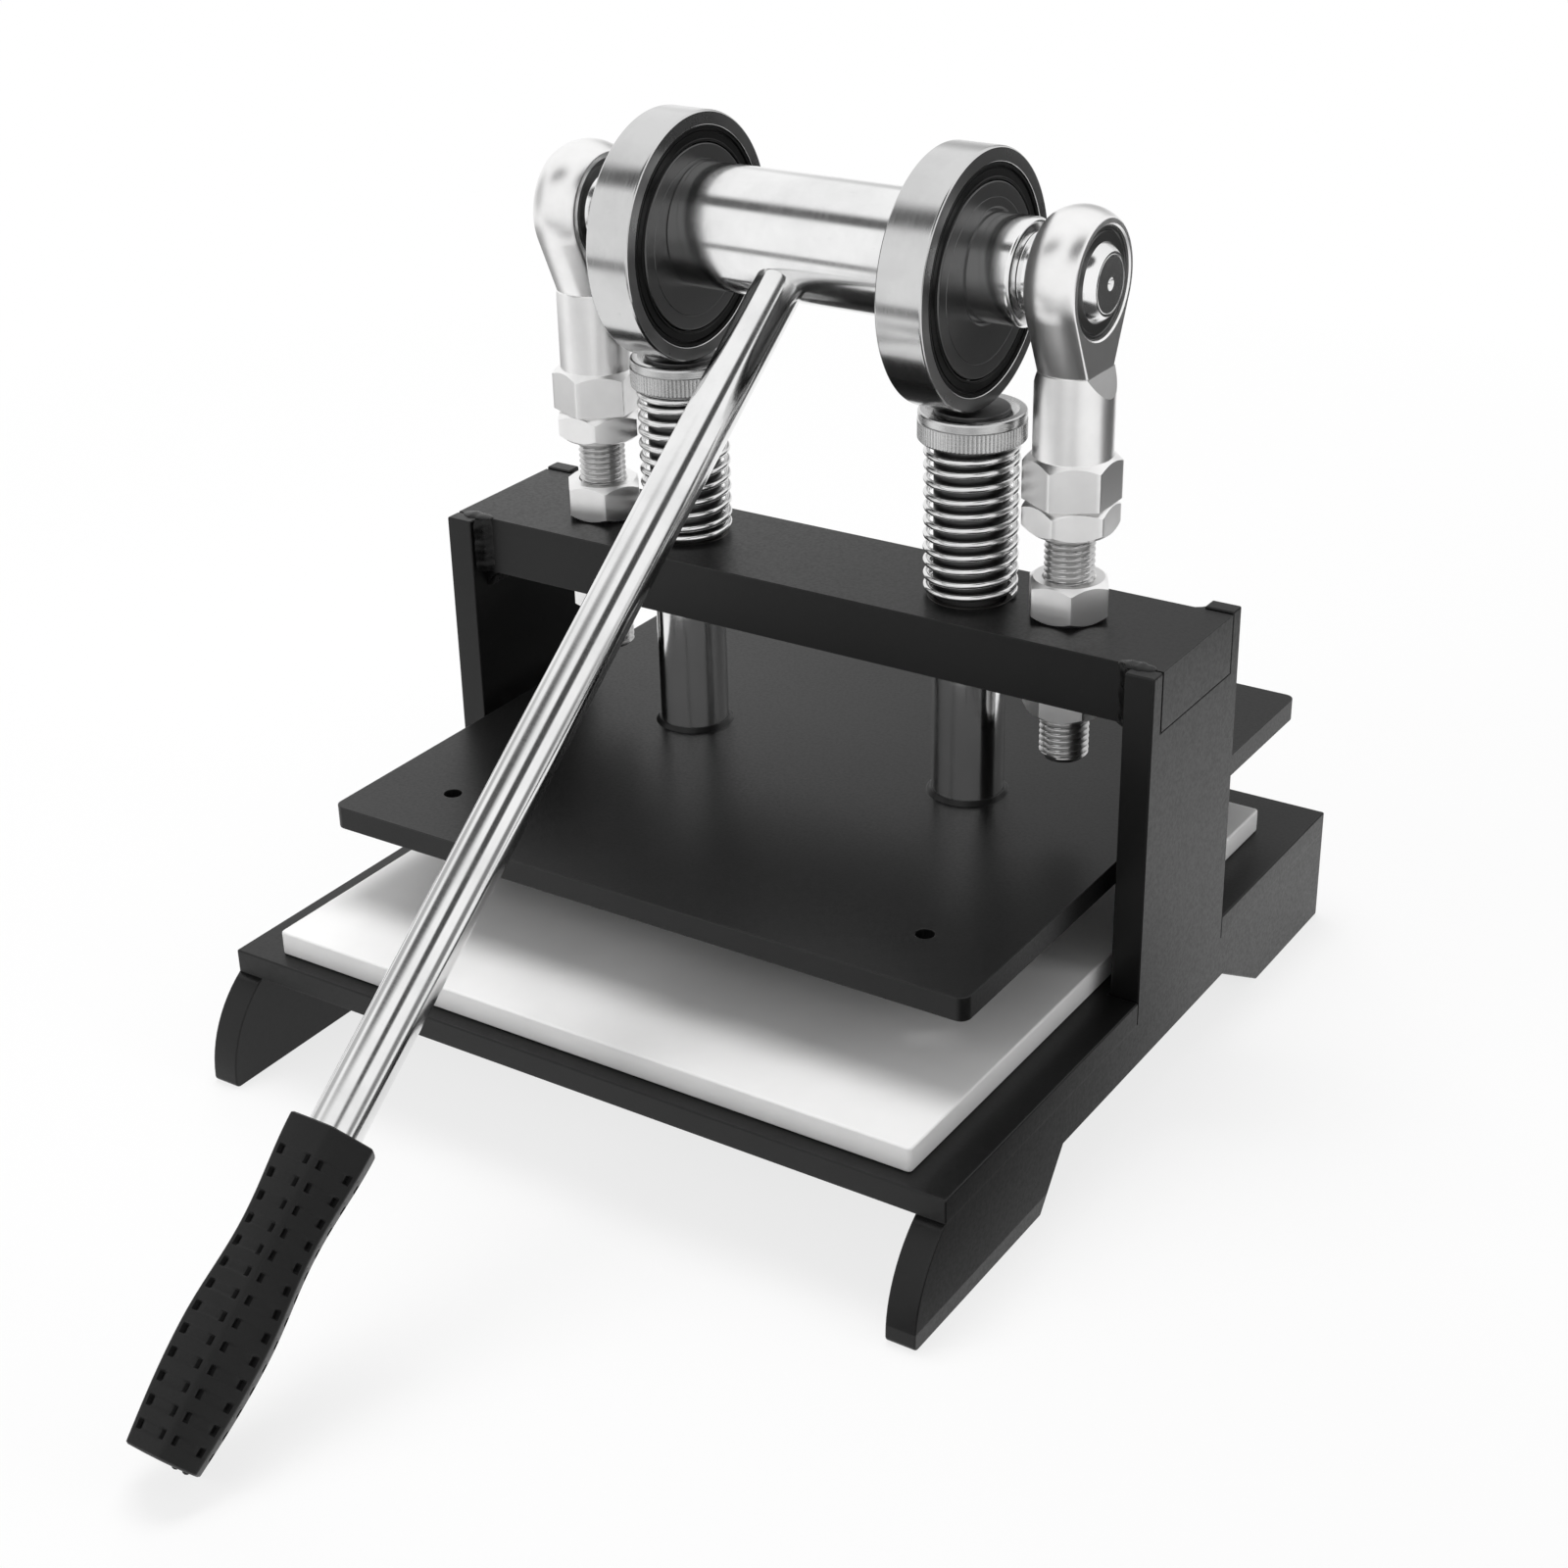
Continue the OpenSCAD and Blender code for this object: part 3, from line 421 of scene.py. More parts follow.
def mesh_object(name, shape, sharp=28.0):
    points, faces = shape
    mesh = bpy.data.meshes.new(name)
    mesh.from_pydata([Vector(p) * MM for p in points], [], faces)
    work = bmesh.new()
    work.from_mesh(mesh)
    bmesh.ops.recalc_face_normals(work, faces=work.faces)
    work.to_mesh(mesh)
    work.free()
    shade(mesh, sharp)
    return linked(name, mesh)


def dress(made, material, body, slot, *stands_for):
    """Gives a piece its material and body, and hides the CAD nodes that it stands for; slot is not used."""
    made.data.materials.clear()
    made.data.materials.append(material)
    if body:
        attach(made, body)
    if stands_for:
        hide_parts(*stands_for)
    return made


def even(made):
    """Lets large faces lead the shading, so that narrow roundings stay narrow."""
    made.modifiers.new("even", "WEIGHTED_NORMAL").keep_sharp = True
    return made


def piece(name, shape, material, body, slot, *stands_for, sharp=28.0):
    return dress(even(mesh_object(name, shape, sharp)), material, body, slot, *stands_for)


def second_material(made, material, picks):
    """Gives a piece a second material, on the faces for which picks is true."""
    made.data.materials.append(material)
    for polygon in made.data.polygons:
        polygon.material_index = int(picks(polygon))


def softened(node, width, material, body, slot, flush_z=None):
    """A copy of a flat-sided CAD node with its sharp edges rounded, but for level edges at flush_z."""
    merge, flat, sharp, same = 0.02, 0.4, 32, 0.05
    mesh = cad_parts[node].data.copy()
    work = bmesh.new()
    work.from_mesh(mesh)
    bmesh.ops.remove_doubles(work, verts=work.verts, dist=merge * MM)
    bmesh.ops.dissolve_limit(work, angle_limit=math.radians(flat), verts=work.verts, edges=work.edges)

    def is_flush(edge):
        return flush_z is not None and all(abs(v.co.z / MM - flush_z) < same for v in edge.verts)

    edges = [e for e in work.edges
             if len(e.link_faces) == 2 and e.calc_face_angle() > math.radians(sharp) and not is_flush(e)]
    bmesh.ops.bevel(work, geom=edges, offset=width * MM, segments=3, profile=0.5, affect="EDGES",
                    clamp_overlap=True)
    bmesh.ops.recalc_face_normals(work, faces=work.faces)
    work.to_mesh(mesh)
    work.free()
    mesh.name = node + "_soft"
    for attribute in [a.name for a in mesh.attributes if a.name.startswith("custom_normal")]:
        mesh.attributes.remove(mesh.attributes[attribute])
    shade(mesh, 50)
    return dress(even(linked(node + "_soft", mesh)), material, body, slot, node)


def solid_union(name, shapes, cuts):
    """One closed mesh from several overlapping ones, less the cuts."""
    parts = [mesh_object(f"{name}_part_{i}", shape) for i, shape in enumerate(shapes)]
    tools = [mesh_object(f"{name}_cut_{i}", shape) for i, shape in enumerate(cuts)]
    base = parts[0]
    for other, operation in [(p, "UNION") for p in parts[1:]] + [(t, "DIFFERENCE") for t in tools]:
        modifier = base.modifiers.new("join", "BOOLEAN")
        modifier.operation = operation
        modifier.solver = "EXACT"
        modifier.object = other
    evaluated = base.evaluated_get(bpy.context.evaluated_depsgraph_get())
    mesh = bpy.data.meshes.new_from_object(evaluated)
    mesh.name = name
    for old in parts + tools:
        bpy.data.objects.remove(old)
    return linked(name, mesh)


# Places that many pieces share

axle = box_of("centre_sleeve")[2]
bar_low, bar_high, _ = box_of("crossbar")


# Plates

base_low, base_high, _ = box_of("base_plate")
for node in ("base_plate", "left_side_frame", "right_side_frame"):
    softened(node, 0.6, POWDER, "frame", "black_steel", flush_z=base_low.z)
softened("crossbar", 0.5, POWDER, "frame", "black_steel")
softened("platen", 0.7, POWDER, "pressing_plate", "black_steel")
softened("cutting_pad", 0.8, PAD_WHITE, "pad", "white_plastic")


# Welds

UPRIGHT_SEAM = {"leg": 4.6, "ripple": 0.018, "lumps": 0.16}
UNDER_SEAM = {"leg": 6.9, "ripple": 0.015, "lumps": 0.06, "hollow": 1.0}
BASE_SEAM = {"leg": 4.8, "ripple": 0.06, "lumps": 0.2}
BASE_SEAM_STARTS = (0.06, 0.44, 0.82)


def bead(start, end, first, second, seed, leg, ripple, lumps, hollow=0.55):
    """Weld fillet along a corner: rippled, with lumps, and a little hollow across."""
    station, ripple_pitch, end_fade, sink, across = 0.7, 2.6, 2.0, 0.2, 8
    start, end, first, second = map(Vector, (start, end, first, second))
    length = (end - start).length
    way = (end - start) / length
    stations = max(8, int(length / station))
    rings = []
    for i in range(stations + 1):
        along = length * i / stations
        corner = start + way * along
        fade = min(1.0, along / end_fade, (length - along) / end_fade)
        ring = [corner - (first + second) * sink]
        for j in range(across + 1):
            angle = math.pi / 2 * j / across
            flat = 1 / (math.cos(angle) + math.sin(angle))
            bow = flat * (1 - hollow * 0.28 * math.sin(2 * angle))
            swirl = math.sin(TAU * (along + 1.1 * math.sin(2 * angle)) / ripple_pitch)
            wander = noise.noise(Vector((along * 0.16 + seed, angle * 0.8, seed * 0.37)))
            reach = leg * bow * (1 + ripple * swirl + lumps * wander) * (0.82 + 0.18 * max(0.0, fade))
            ring.append(corner + first * (reach * math.cos(angle)) + second * (reach * math.sin(angle)))
        rings.append(ring)
    return tube(rings)


def mound(start, end, seed):
    """Low lumpy run of weld along X over a flush seam."""
    stations, around, half_width, height = 30, 20, 2.6, 0.75
    start, end = Vector(start), Vector(end)
    rings = []
    for i in range(stations + 1):
        share = i / stations
        swell = math.sqrt(max(0.0, 1 - (2 * share - 1) ** 2))
        lump = 1 + 0.35 * noise.noise(Vector((share * 5 + seed, seed, 0.3)))
        wide, tall = 0.25 + half_width * swell * lump, 0.05 + height * swell * lump
        middle = start.lerp(end, share)
        angles = [TAU * k / around for k in range(around)]
        rings.append([middle + Vector((0, wide * math.cos(a), tall * math.sin(a))) for a in angles])
    return tube(rings)


def side_beads(side):
    """All runs of weld on one side: before, behind, under and over the bar's end, and under the base."""
    wall = side * box_of("right_side_frame")[0].x
    inward = (-side, 0, 0)
    seed = 3.1 + side
    beads = []
    for bar_y, outward, step in ((bar_low.y, -1, 0), (bar_high.y, 1, 5)):
        beads.append(bead((wall, bar_y, bar_low.z + 0.5), (wall, bar_y, bar_high.z - 0.3), inward,
                          (0, outward, 0), seed + step, **UPRIGHT_SEAM))
    beads.append(bead((wall, bar_low.y + 0.4, bar_low.z), (wall, bar_high.y - 0.4, bar_low.z), inward,
                      (0, 0, -1), seed + 9, **UNDER_SEAM))
    beads.append(mound((wall - side * 5, bar_low.y, bar_high.z), (wall + side * 7.5, bar_low.y, bar_high.z),
                       seed + 13))
    depth = base_high.y - base_low.y
    for share in BASE_SEAM_STARTS:
        from_y = base_low.y + depth * share
        beads.append(bead((wall, from_y, base_low.z), (wall, from_y + depth / 8, base_low.z), inward,
                          (0, 0, -1), seed + 20 * share, **BASE_SEAM))
    return beads


piece("weld_runs", joined(*side_beads(-1), *side_beads(1)), WELD, "frame", "black_steel", "weld_beads",
      sharp=60.0)


# Nuts

NUT_TURNS = {
    "top_nut": {"left": 8, "right": 0},
    "bottom_nut": {"left": 5, "right": 20},
    "jam_nut": {"left": 0, "right": 35},
}
NUT_HALF, JAM_HALF = 12.0, 13.5
STUD_R = 8.0
NUT_BORE_R = STUD_R - 0.6


def hex_nut(half, height, bore, turn, centre, bottom_cut=True):
    """Hexagon from its foot's centre upward, with the arcs that its chamfers leave; bore 0 is solid."""
    segments = 144
    face_r = half * 0.94
    slope = math.tan(math.radians(38))
    corner_flat, uncut, mouth = 0.12, 0.15, 1.1
    first, second, way = basis(Z_AXIS)
    centre = Vector(centre)
    inside = [(bore + mouth, height), (bore, height - mouth), (bore, mouth), (bore + mouth, 0.0)]
    inside = inside if bore else []
    points, faces = [], []
    for k in range(segments):
        degrees = 360 * k / segments
        phase = degrees % 60 - 30
        edge = min(half / math.cos(math.radians(phase)), half / math.cos(math.radians(30)) - corner_flat)
        drop = (edge - face_r) * slope
        turned_by = math.radians(degrees + turn)
        out = first * math.cos(turned_by) + second * math.sin(turned_by)
        foot = drop if bottom_cut else uncut
        outside = [(face_r, 0.0), (edge, foot), (edge, height - drop), (face_r, height)]
        points += [centre + out * radius + way * along for radius, along in outside + inside]
    count = len(outside) + len(inside)
    for k in range(segments):
        n = (k + 1) % segments
        for s in range(count if bore else count - 1):
            t = (s + 1) % count
            faces.append((k * count + s, n * count + s, n * count + t, k * count + t))
    if not bore:
        faces.append(tuple(k * count for k in range(segments))[::-1])
        faces.append(tuple(k * count + count - 1 for k in range(segments)))
    return points, faces


for label in SIDES:
    for kind, turns in NUT_TURNS.items():
        node = f"{label}_{kind}"
        nut_low, nut_high, _ = box_of(node)
        half = JAM_HALF if kind == "jam_nut" else NUT_HALF
        foot = (box_of(f"{label}_stud")[2].x, axle.y, nut_low.z)
        shape = hex_nut(half, nut_high.z - nut_low.z, NUT_BORE_R, turns[label], foot)
        piece(node + "_cut", shape, ZINC, "frame", "zinc_steel", node)


# Studs with cut threads

THREAD_PITCH, THREAD_DEPTH, THREAD_FADE = 2.0, 1.15, 0.8
THREAD_STEP, PLAIN_STEP = 0.2, 1.0


def thread_shape(spans):
    """Cuts the thread between the heights of each span."""
    def shape(radius, along, angle):
        if radius < STUD_R - 0.01:
            return radius, along
        cut = 0.0
        for start, end in spans:
            if start < along < end:
                cut = min(1.0, (along - start) / THREAD_FADE, (end - along) / THREAD_FADE)
        phase = (along / THREAD_PITCH - angle / TAU) % 1.0
        ridge = abs(2 * phase - 1)
        valley = min(1.0, max(0.0, (1 - ridge) * 1.3 - 0.1))
        return radius - THREAD_DEPTH * cut * valley, along
    return shape


for label in SIDES:
    node = f"{label}_stud"
    stud_low, stud_high, stud_mid = box_of(node)
    in_bottom_nut = box_of(f"{label}_bottom_nut")[0].z + 1.5
    in_top_nut = box_of(f"{label}_top_nut")[1].z - 1.5
    in_jam_nut = box_of(f"{label}_jam_nut")[0].z + 1.5
    spans = [(stud_low.z - 2, in_bottom_nut), (in_top_nut, in_jam_nut)]
    stations = [(0, stud_low.z), (STUD_R - 1.6, stud_low.z)]
    z = stud_low.z + 1.3
    while z < stud_high.z - 1.2:
        stations.append((STUD_R, z))
        z += THREAD_STEP if any(start < z < end for start, end in spans) else PLAIN_STEP
    stations += [(STUD_R, stud_high.z - 1), (STUD_R - 1, stud_high.z), (0, stud_high.z)]
    shape = lathe(stations, (stud_mid.x, stud_mid.y, 0), Z_AXIS, segments=64, shape=thread_shape(spans))
    piece(node + "_thread", shape, ZINC_THREAD, "frame", "zinc_steel", node, sharp=50.0)


# Guide rods and knurled collars

# Height above which the guide rods get painted shade.
PAINTED_SHADE_FROM = bar_high.z - 10.0
KNURL_TEETH, KNURL_DEPTH = 80, 0.45


def knurl_shape(start, end, radius_from):
    """Cuts upright teeth into a collar's rim between two heights."""
    def shape(radius, along, angle):
        if radius < radius_from or not start <= along <= end:
            return radius, along
        tooth = abs(((angle / TAU * KNURL_TEETH) % 1.0) * 2 - 1)
        return radius - KNURL_DEPTH * (1 - min(1.0, tooth * 1.6)), along
    return shape


def guide_rod(label):
    """Ground rod with rounded ends, painted near black as shade where it runs inside the bar and the spring.
    """
    low, high, mid = box_of(f"{label}_guide_rod")
    rod_r = (high.x - low.x) / 2
    profile = fillet([(0, low.z), (rod_r, low.z), (rod_r, PAINTED_SHADE_FROM), (rod_r, high.z),
                      (rod_r - 1.2, high.z), (0, high.z)], [0, 0.3, 0, 0.7, 0, 0])
    rod = piece(f"{label}_rod_ground", lathe(profile, (mid.x, mid.y, 0), Z_AXIS), CHROME_UPRIGHT,
                "pressing_plate", "ground_steel", f"{label}_guide_rod")
    # Painted shade: faces above that height get the near-black steel.
    second_material(rod, SHADED_UPRIGHT_STEEL, lambda polygon: polygon.center.z > PAINTED_SHADE_FROM * MM)
    return rod_r


def collar(label, rod_r):
    """Collar with a knurled rim, a groove under its top and a chamfered bore."""
    low, high, mid = box_of(f"{label}_collar")
    rim_r = (high.x - low.x) / 2
    foot, head = low.z, high.z
    profile = [
        (rod_r + 0.05, foot), (rim_r - 1.1, foot), (rim_r - 0.3, foot + 0.5), (rim_r - 0.02, foot + 0.9),
        (rim_r, foot + 1.0), (rim_r, head - 3.4), (rim_r - 0.02, head - 3.3), (rim_r - 0.55, head - 3.1),
        (rim_r - 0.55, head - 2.7), (rim_r - 0.15, head - 2.5), (rim_r - 0.1, head - 0.8),
        (rim_r - 0.35, head - 0.25), (rim_r - 0.9, head), (rod_r + 2.6, head), (rod_r + 2.2, head - 0.2),
        (rod_r + 0.3, head - 1.0), (rod_r + 0.05, head - 1.2),
    ]
    shape = lathe(profile, (mid.x, mid.y, 0), Z_AXIS, closed=True, segments=320,
                  shape=knurl_shape(foot + 0.95, head - 3.35, rim_r - 0.01))
    piece(f"{label}_collar_knurled", shape, COLLAR_STEEL, "pressing_plate", "plain_steel", f"{label}_collar",
          sharp=22.0)


for label in SIDES:
    collar(label, guide_rod(label))


# Springs, which stretch between the bar and the collars

WIRE_R, COIL_R = 1.15, 14.196
SPRING_TURNS, END_RISE = 11.5, 2.9
STEPS_PER_TURN, WIRE_SIDES = 40, 14


def spring_rings(low, high, mid, start_angle):
    """Wire sections of a coil with one close turn at each end."""
    open_rise = (high.z - low.z - 2 * WIRE_R - 2 * END_RISE) / (SPRING_TURNS - 2)

    def wire_point(turn):
        rise = (END_RISE * min(turn, 1) + open_rise * max(0, min(turn, SPRING_TURNS - 1) - 1)
                + END_RISE * max(0, turn - SPRING_TURNS + 1))
        angle = start_angle + TAU * turn
        x, y = COIL_R * math.cos(angle), COIL_R * math.sin(angle)
        return Vector((mid.x + x, axle.y + y, low.z + WIRE_R + rise))

    rings = []
    for i in range(int(SPRING_TURNS * STEPS_PER_TURN) + 1):
        turn = i / STEPS_PER_TURN
        here = wire_point(turn)
        outward = Vector((here.x - mid.x, here.y - axle.y, 0)).normalized()
        ahead = (wire_point(turn + 0.01) - wire_point(turn - 0.01)).normalized()
        lift = ahead.cross(outward).normalized()
        flat = lift.cross(ahead).normalized()
        angles = [TAU * k / WIRE_SIDES for k in range(WIRE_SIDES)]
        rings.append([here + WIRE_R * (flat * math.cos(a) + lift * math.sin(a)) for a in angles])
    return rings


for label, side in SIDES.items():
    low, high, mid = box_of(f"{label}_spring")
    rings = spring_rings(low, high, mid, math.pi if side < 0 else 0.0)
    spring = mesh_object(f"{label}_spring_wire", tube(rings), 50.0)
    dress(spring, SPRING_STEEL, None, "spring_steel", f"{label}_spring")
    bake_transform(spring, "frame", "pressing_plate", start=(mid.x * MM, axle.y * MM, (low.z + 1) * MM),
             end=(mid.x * MM, axle.y * MM, (high.z - 1) * MM))


# Rod ends with their races and joint balls

HEX_TURNS = {"left": 38, "right": 30}
HEX_HEIGHT, THREAD_HOLE_DEPTH = 14.5, 23
BALL_R, BALL_BORE_R, RACE_R, SHANK_R = 14.25, 9.0, 17.0, 12.5
HEAD_HALF, HEAD_CROWN, HEAD_FLAT = 8.5, 3.0, 7.4
WEB_DROP, RUN_OUT = 27.0, 8.0
BORE_CHAMFER = 2.5


def head_rings(x0, head_r):
    """Sections across X of a crowned head whose flanks run straight down into the round shank."""
    arc_steps, crown_steps, below = 72, 8, 2
    crown_r = (HEAD_HALF ** 2 + HEAD_CROWN ** 2) / (2 * HEAD_CROWN)
    rim = [(HEAD_HALF, 0.45), (HEAD_HALF - 0.13, 0.13), (HEAD_HALF - 0.45, 0.0)]
    stations = [(-x, inset) for x, inset in rim]
    stations += [(HEAD_FLAT * i / crown_steps, 0.0) for i in range(-crown_steps, crown_steps + 1)] + rim[::-1]
    rings = []
    for x, inset in stations:
        radius = head_r - crown_r + math.sqrt(crown_r ** 2 - x ** 2) - inset
        half = math.sqrt(SHANK_R ** 2 - x ** 2) - 0.3 - inset
        touch = math.atan2(-WEB_DROP, half) + math.acos(radius / math.hypot(half, WEB_DROP))
        angles = [touch + (math.pi - 2 * touch) * i / arc_steps for i in range(arc_steps + 1)]
        outline = [(radius * math.cos(angle), radius * math.sin(angle)) for angle in angles]
        slope = (outline[0][0] - half) / (outline[0][1] + WEB_DROP)
        low_half = half - below * slope
        outline += [(-low_half, -WEB_DROP - below), (low_half, -WEB_DROP - below)]
        rings.append([Vector((x0 + x, axle.y + y, axle.z + z)) for y, z in outline])
    return rings


def shank_shape(node, x0, from_z):
    """Round shank whose two sides fall away below the flat head."""
    web_z = axle.z - WEB_DROP
    profile = [(0, from_z), (SHANK_R, from_z), (SHANK_R, web_z - 0.25), (SHANK_R - 0.25, web_z), (0, web_z)]
    shank = lathe(profile, (x0, axle.y, 0), Z_AXIS)
    run_outs = [prism([
        (x0 + way * (HEAD_HALF + 0.02), web_z + 0.5), (x0 + way * (HEAD_HALF + 0.02), web_z - 0.3),
        (x0 + way * (SHANK_R + 0.2), web_z - RUN_OUT), (x0 + way * (SHANK_R + 3), web_z - RUN_OUT),
        (x0 + way * (SHANK_R + 3), web_z + 0.5),
    ], axle.y - 20, axle.y + 20) for way in (-1, 1)]
    made = solid_union(node + "_neck", [shank], run_outs)
    shape = ([v.co / MM for v in made.data.vertices], [tuple(p.vertices) for p in made.data.polygons])
    bpy.data.objects.remove(made)
    return shape


def rod_end(label, x0):
    """Forged rod end: head, shank and hexagon foot in one, less the ball's bore and the threaded hole."""
    node = f"{label}_rod_end"
    low, high, _ = box_of(node)
    head = tube(head_rings(x0, high.z - axle.z))
    bore = lathe([
        (0, -HEAD_HALF - 2), (RACE_R + BORE_CHAMFER, -HEAD_HALF - 2), (RACE_R, -HEAD_HALF + 0.5),
        (RACE_R, HEAD_HALF - 0.5), (RACE_R + BORE_CHAMFER, HEAD_HALF + 2), (0, HEAD_HALF + 2),
    ], (x0, axle.y, axle.z), X_AXIS, segments=128)
    hole_r, hole_top = STUD_R - 0.4, low.z + THREAD_HOLE_DEPTH
    hole = lathe([(0, low.z - 2), (hole_r, low.z - 2), (hole_r, hole_top), (0, hole_top + 1)],
                 (x0, axle.y, 0), Z_AXIS, segments=64)
    foot = hex_nut(JAM_HALF, HEX_HEIGHT, 0, HEX_TURNS[label], (x0, axle.y, low.z), bottom_cut=False)
    shank = shank_shape(node, x0, low.z + HEX_HEIGHT - 1)
    body = solid_union(node + "_forged", [head, shank, foot], [bore, hole])
    shade(body.data, 24)
    dress(even(body), ZINC, "frame", "zinc_steel", node)


def ball_arc(radius, half, steps):
    """(radius, along) stations of a ball between two flats."""
    places = [half * i / steps for i in range(-steps, steps + 1)]
    return [(math.sqrt(radius ** 2 - along ** 2), along) for along in places]


def race(label, centre):
    """Race liner with a chamfered rim and a groove round each face."""
    low, high, _ = box_of(f"{label}_race")
    half = (high.x - low.x) / 2
    face = [(RACE_R, -half + 0.3), (RACE_R - 0.5, -half), (RACE_R - 1.3, -half), (RACE_R - 1.6, -half + 0.35),
            (RACE_R - 1.9, -half)]
    profile = face + ball_arc(BALL_R + 0.05, half, 10) + [(r, -t) for r, t in reversed(face)]
    piece(f"{label}_race_ring", lathe(profile, centre, X_AXIS, closed=True), DARK_STEEL, "frame", "bronze",
          f"{label}_race", sharp=22.0)


def joint_ball(label, centre):
    low, high, _ = box_of(f"{label}_joint_ball")
    half = (high.x - low.x) / 2
    profile = [(BALL_BORE_R, -half)] + ball_arc(BALL_R, half, 16) + [(BALL_BORE_R, half)]
    piece(f"{label}_ball_polished", lathe(profile, centre, X_AXIS, closed=True), CHROME_LEVEL, "lever",
          "ground_steel", f"{label}_joint_ball", sharp=22.0)


for label in SIDES:
    x0 = box_of(f"{label}_race")[2].x
    rod_end(label, x0)
    race(label, (x0, axle.y, axle.z))
    joint_ball(label, (x0, axle.y, axle.z))


# Cam shaft and sleeve

SHAFT_R, NECK_R, STUB_R, MARK_R = 16.5, 12.0, 9.0, 2.0
SHOULDER_X = 75.5
shaft_end = box_of("cam_shaft")[1].x
ball_face = box_of("right_joint_ball")[0].x
centre_mark = [(0, shaft_end - 1.6), (0.9, shaft_end - 1.1), (MARK_R, shaft_end)]
shoulders = fillet([
    (MARK_R, shaft_end), (STUB_R, shaft_end), (STUB_R, ball_face), (NECK_R, ball_face),
    (NECK_R, SHOULDER_X), (SHAFT_R, SHOULDER_X), (SHAFT_R, 0),
], [0, 0.6, 0.1, 0.6, 0.4, 1.6, 0])
profile = mirrored(centre_mark + shoulders[1:-1])
piece("cam_shaft_ground", lathe(profile, (0, axle.y, axle.z), X_AXIS, segments=128), CHROME_LEVEL, "lever",
      "ground_steel", "cam_shaft")

sleeve_low, sleeve_high, _ = box_of("centre_sleeve")
sleeve_half, sleeve_r = sleeve_high.x, (sleeve_high.y - sleeve_low.y) / 2
profile = fillet([(SHAFT_R, -sleeve_half), (sleeve_r, -sleeve_half), (sleeve_r, sleeve_half),
                  (SHAFT_R, sleeve_half)], [0, 0.35, 0.35, 0])
piece("sleeve_ground", lathe(profile, (0, axle.y, axle.z), X_AXIS, closed=True, segments=160), CHROME_LEVEL,
      "lever", "ground_steel", "centre_sleeve")


# Eccentrics, bearing rings and seals

def eccentric(label):
    """Disc centred on the bearing, its bore on the axle; gives its middle and radius back."""
    around = 96
    low, high, mid = box_of(f"{label}_eccentric")
    half, disc_r = (high.x - low.x) / 2, (high.y - low.y) / 2
    left_side = [
        (disc_r, -half + 0.12, mid), (disc_r - 0.12, -half, mid), (disc_r - 0.9, -half, mid),
        (SHAFT_R + 1.4, -half, axle), (SHAFT_R + 0.7, -half + 0.5, axle), (SHAFT_R, -half + 0.5, axle),
    ]
    rings = []
    angles = [TAU * k / around for k in range(around)]
    for radius, x, middle in left_side + [(radius, -x, middle) for radius, x, middle in reversed(left_side)]:
        rings.append([Vector((mid.x + x, middle.y + radius * math.cos(a), middle.z + radius * math.sin(a)))
                      for a in angles])
    points, faces = tube(rings, closed_ends=False)
    last = (len(rings) - 1) * around
    faces += [(last + k, last + (k + 1) % around, (k + 1) % around, k) for k in range(around)]
    piece(f"{label}_cam_disc", (points, faces), DARK_STEEL, "lever", "dark_steel", f"{label}_eccentric",
          sharp=22.0)
    return mid, disc_r


def half_sizes(node):
    """Half width along X and radius of a node that turns about X."""
    low, high, _ = box_of(node)
    return (high.x - low.x) / 2, (high.y - low.y) / 2


def bearing(label, centre, disc_r):
    """Outer ring with rougher, darker side faces (the darkness is painted shade), inner ring, and a lipped
    seal on each side.
    """
    width, rim_r = half_sizes(f"{label}_outer_ring")
    seal_at, land_r = half_sizes(f"{label}_seals")
    inner_r = half_sizes(f"{label}_inner_ring")[1]
    profile = fillet([
        (land_r + 1.3, -3.0), (land_r + 0.05, -seal_at + 1.3), (land_r + 0.05, -width), (rim_r, -width),
        (rim_r, width), (land_r + 0.05, width), (land_r + 0.05, seal_at - 1.3), (land_r + 1.3, 3.0),
    ], [0, 0, 0.35, 1.0, 1.0, 0.35, 0, 0])
    ring = piece(f"{label}_roller_ring", lathe(profile, centre, X_AXIS, closed=True, segments=192),
                 RING_STEEL, f"{label}_roller", "ground_steel", f"{label}_outer_ring", sharp=22.0)
    # Faces that look along X get the rougher steel, darker as painted shade.
    second_material(ring, RING_SIDE_TURNED_AND_SHADED, lambda polygon: abs(polygon.normal.x) > 0.9)

    profile = fillet([
        (disc_r, -width), (inner_r, -width), (inner_r, -width + 2.0), (inner_r - 0.6, -width + 2.6),
        (inner_r - 0.6, width - 2.6), (inner_r, width - 2.0), (inner_r, width), (disc_r, width),
    ], [0.3, 0.7, 0, 0, 0, 0, 0.7, 0.3], closed=True)
    piece(f"{label}_inner_track", lathe(profile, centre, X_AXIS, closed=True, segments=160), DARK_STEEL,
          "lever", "dark_steel", f"{label}_inner_ring", sharp=22.0)

    lip = inner_r + 0.28
    outline = fillet([
        (lip, 0.0), (lip + 0.25, 0.25), (lip + 0.7, 0.25), (lip + 1.0, -0.1), (land_r - 2.0, -0.1),
        (land_r - 1.8, -0.5), (land_r - 1.35, -0.5), (land_r - 1.15, 0.15), (land_r - 0.35, 0.15),
        (land_r - 0.05, -0.15), (land_r - 0.05, -0.95), (lip, -0.95),
    ], 0.12, 2, closed=True)
    seals = [lathe([(r, face * (seal_at + t)) for r, t in outline], centre, X_AXIS, closed=True, segments=160)
             for face in (-1, 1)]
    piece(f"{label}_seal_rings", joined(*seals), SEAL, f"{label}_roller", "black_rubber", f"{label}_seals",
          sharp=35.0)


for label in SIDES:
    bearing(label, *eccentric(label))


# Lever

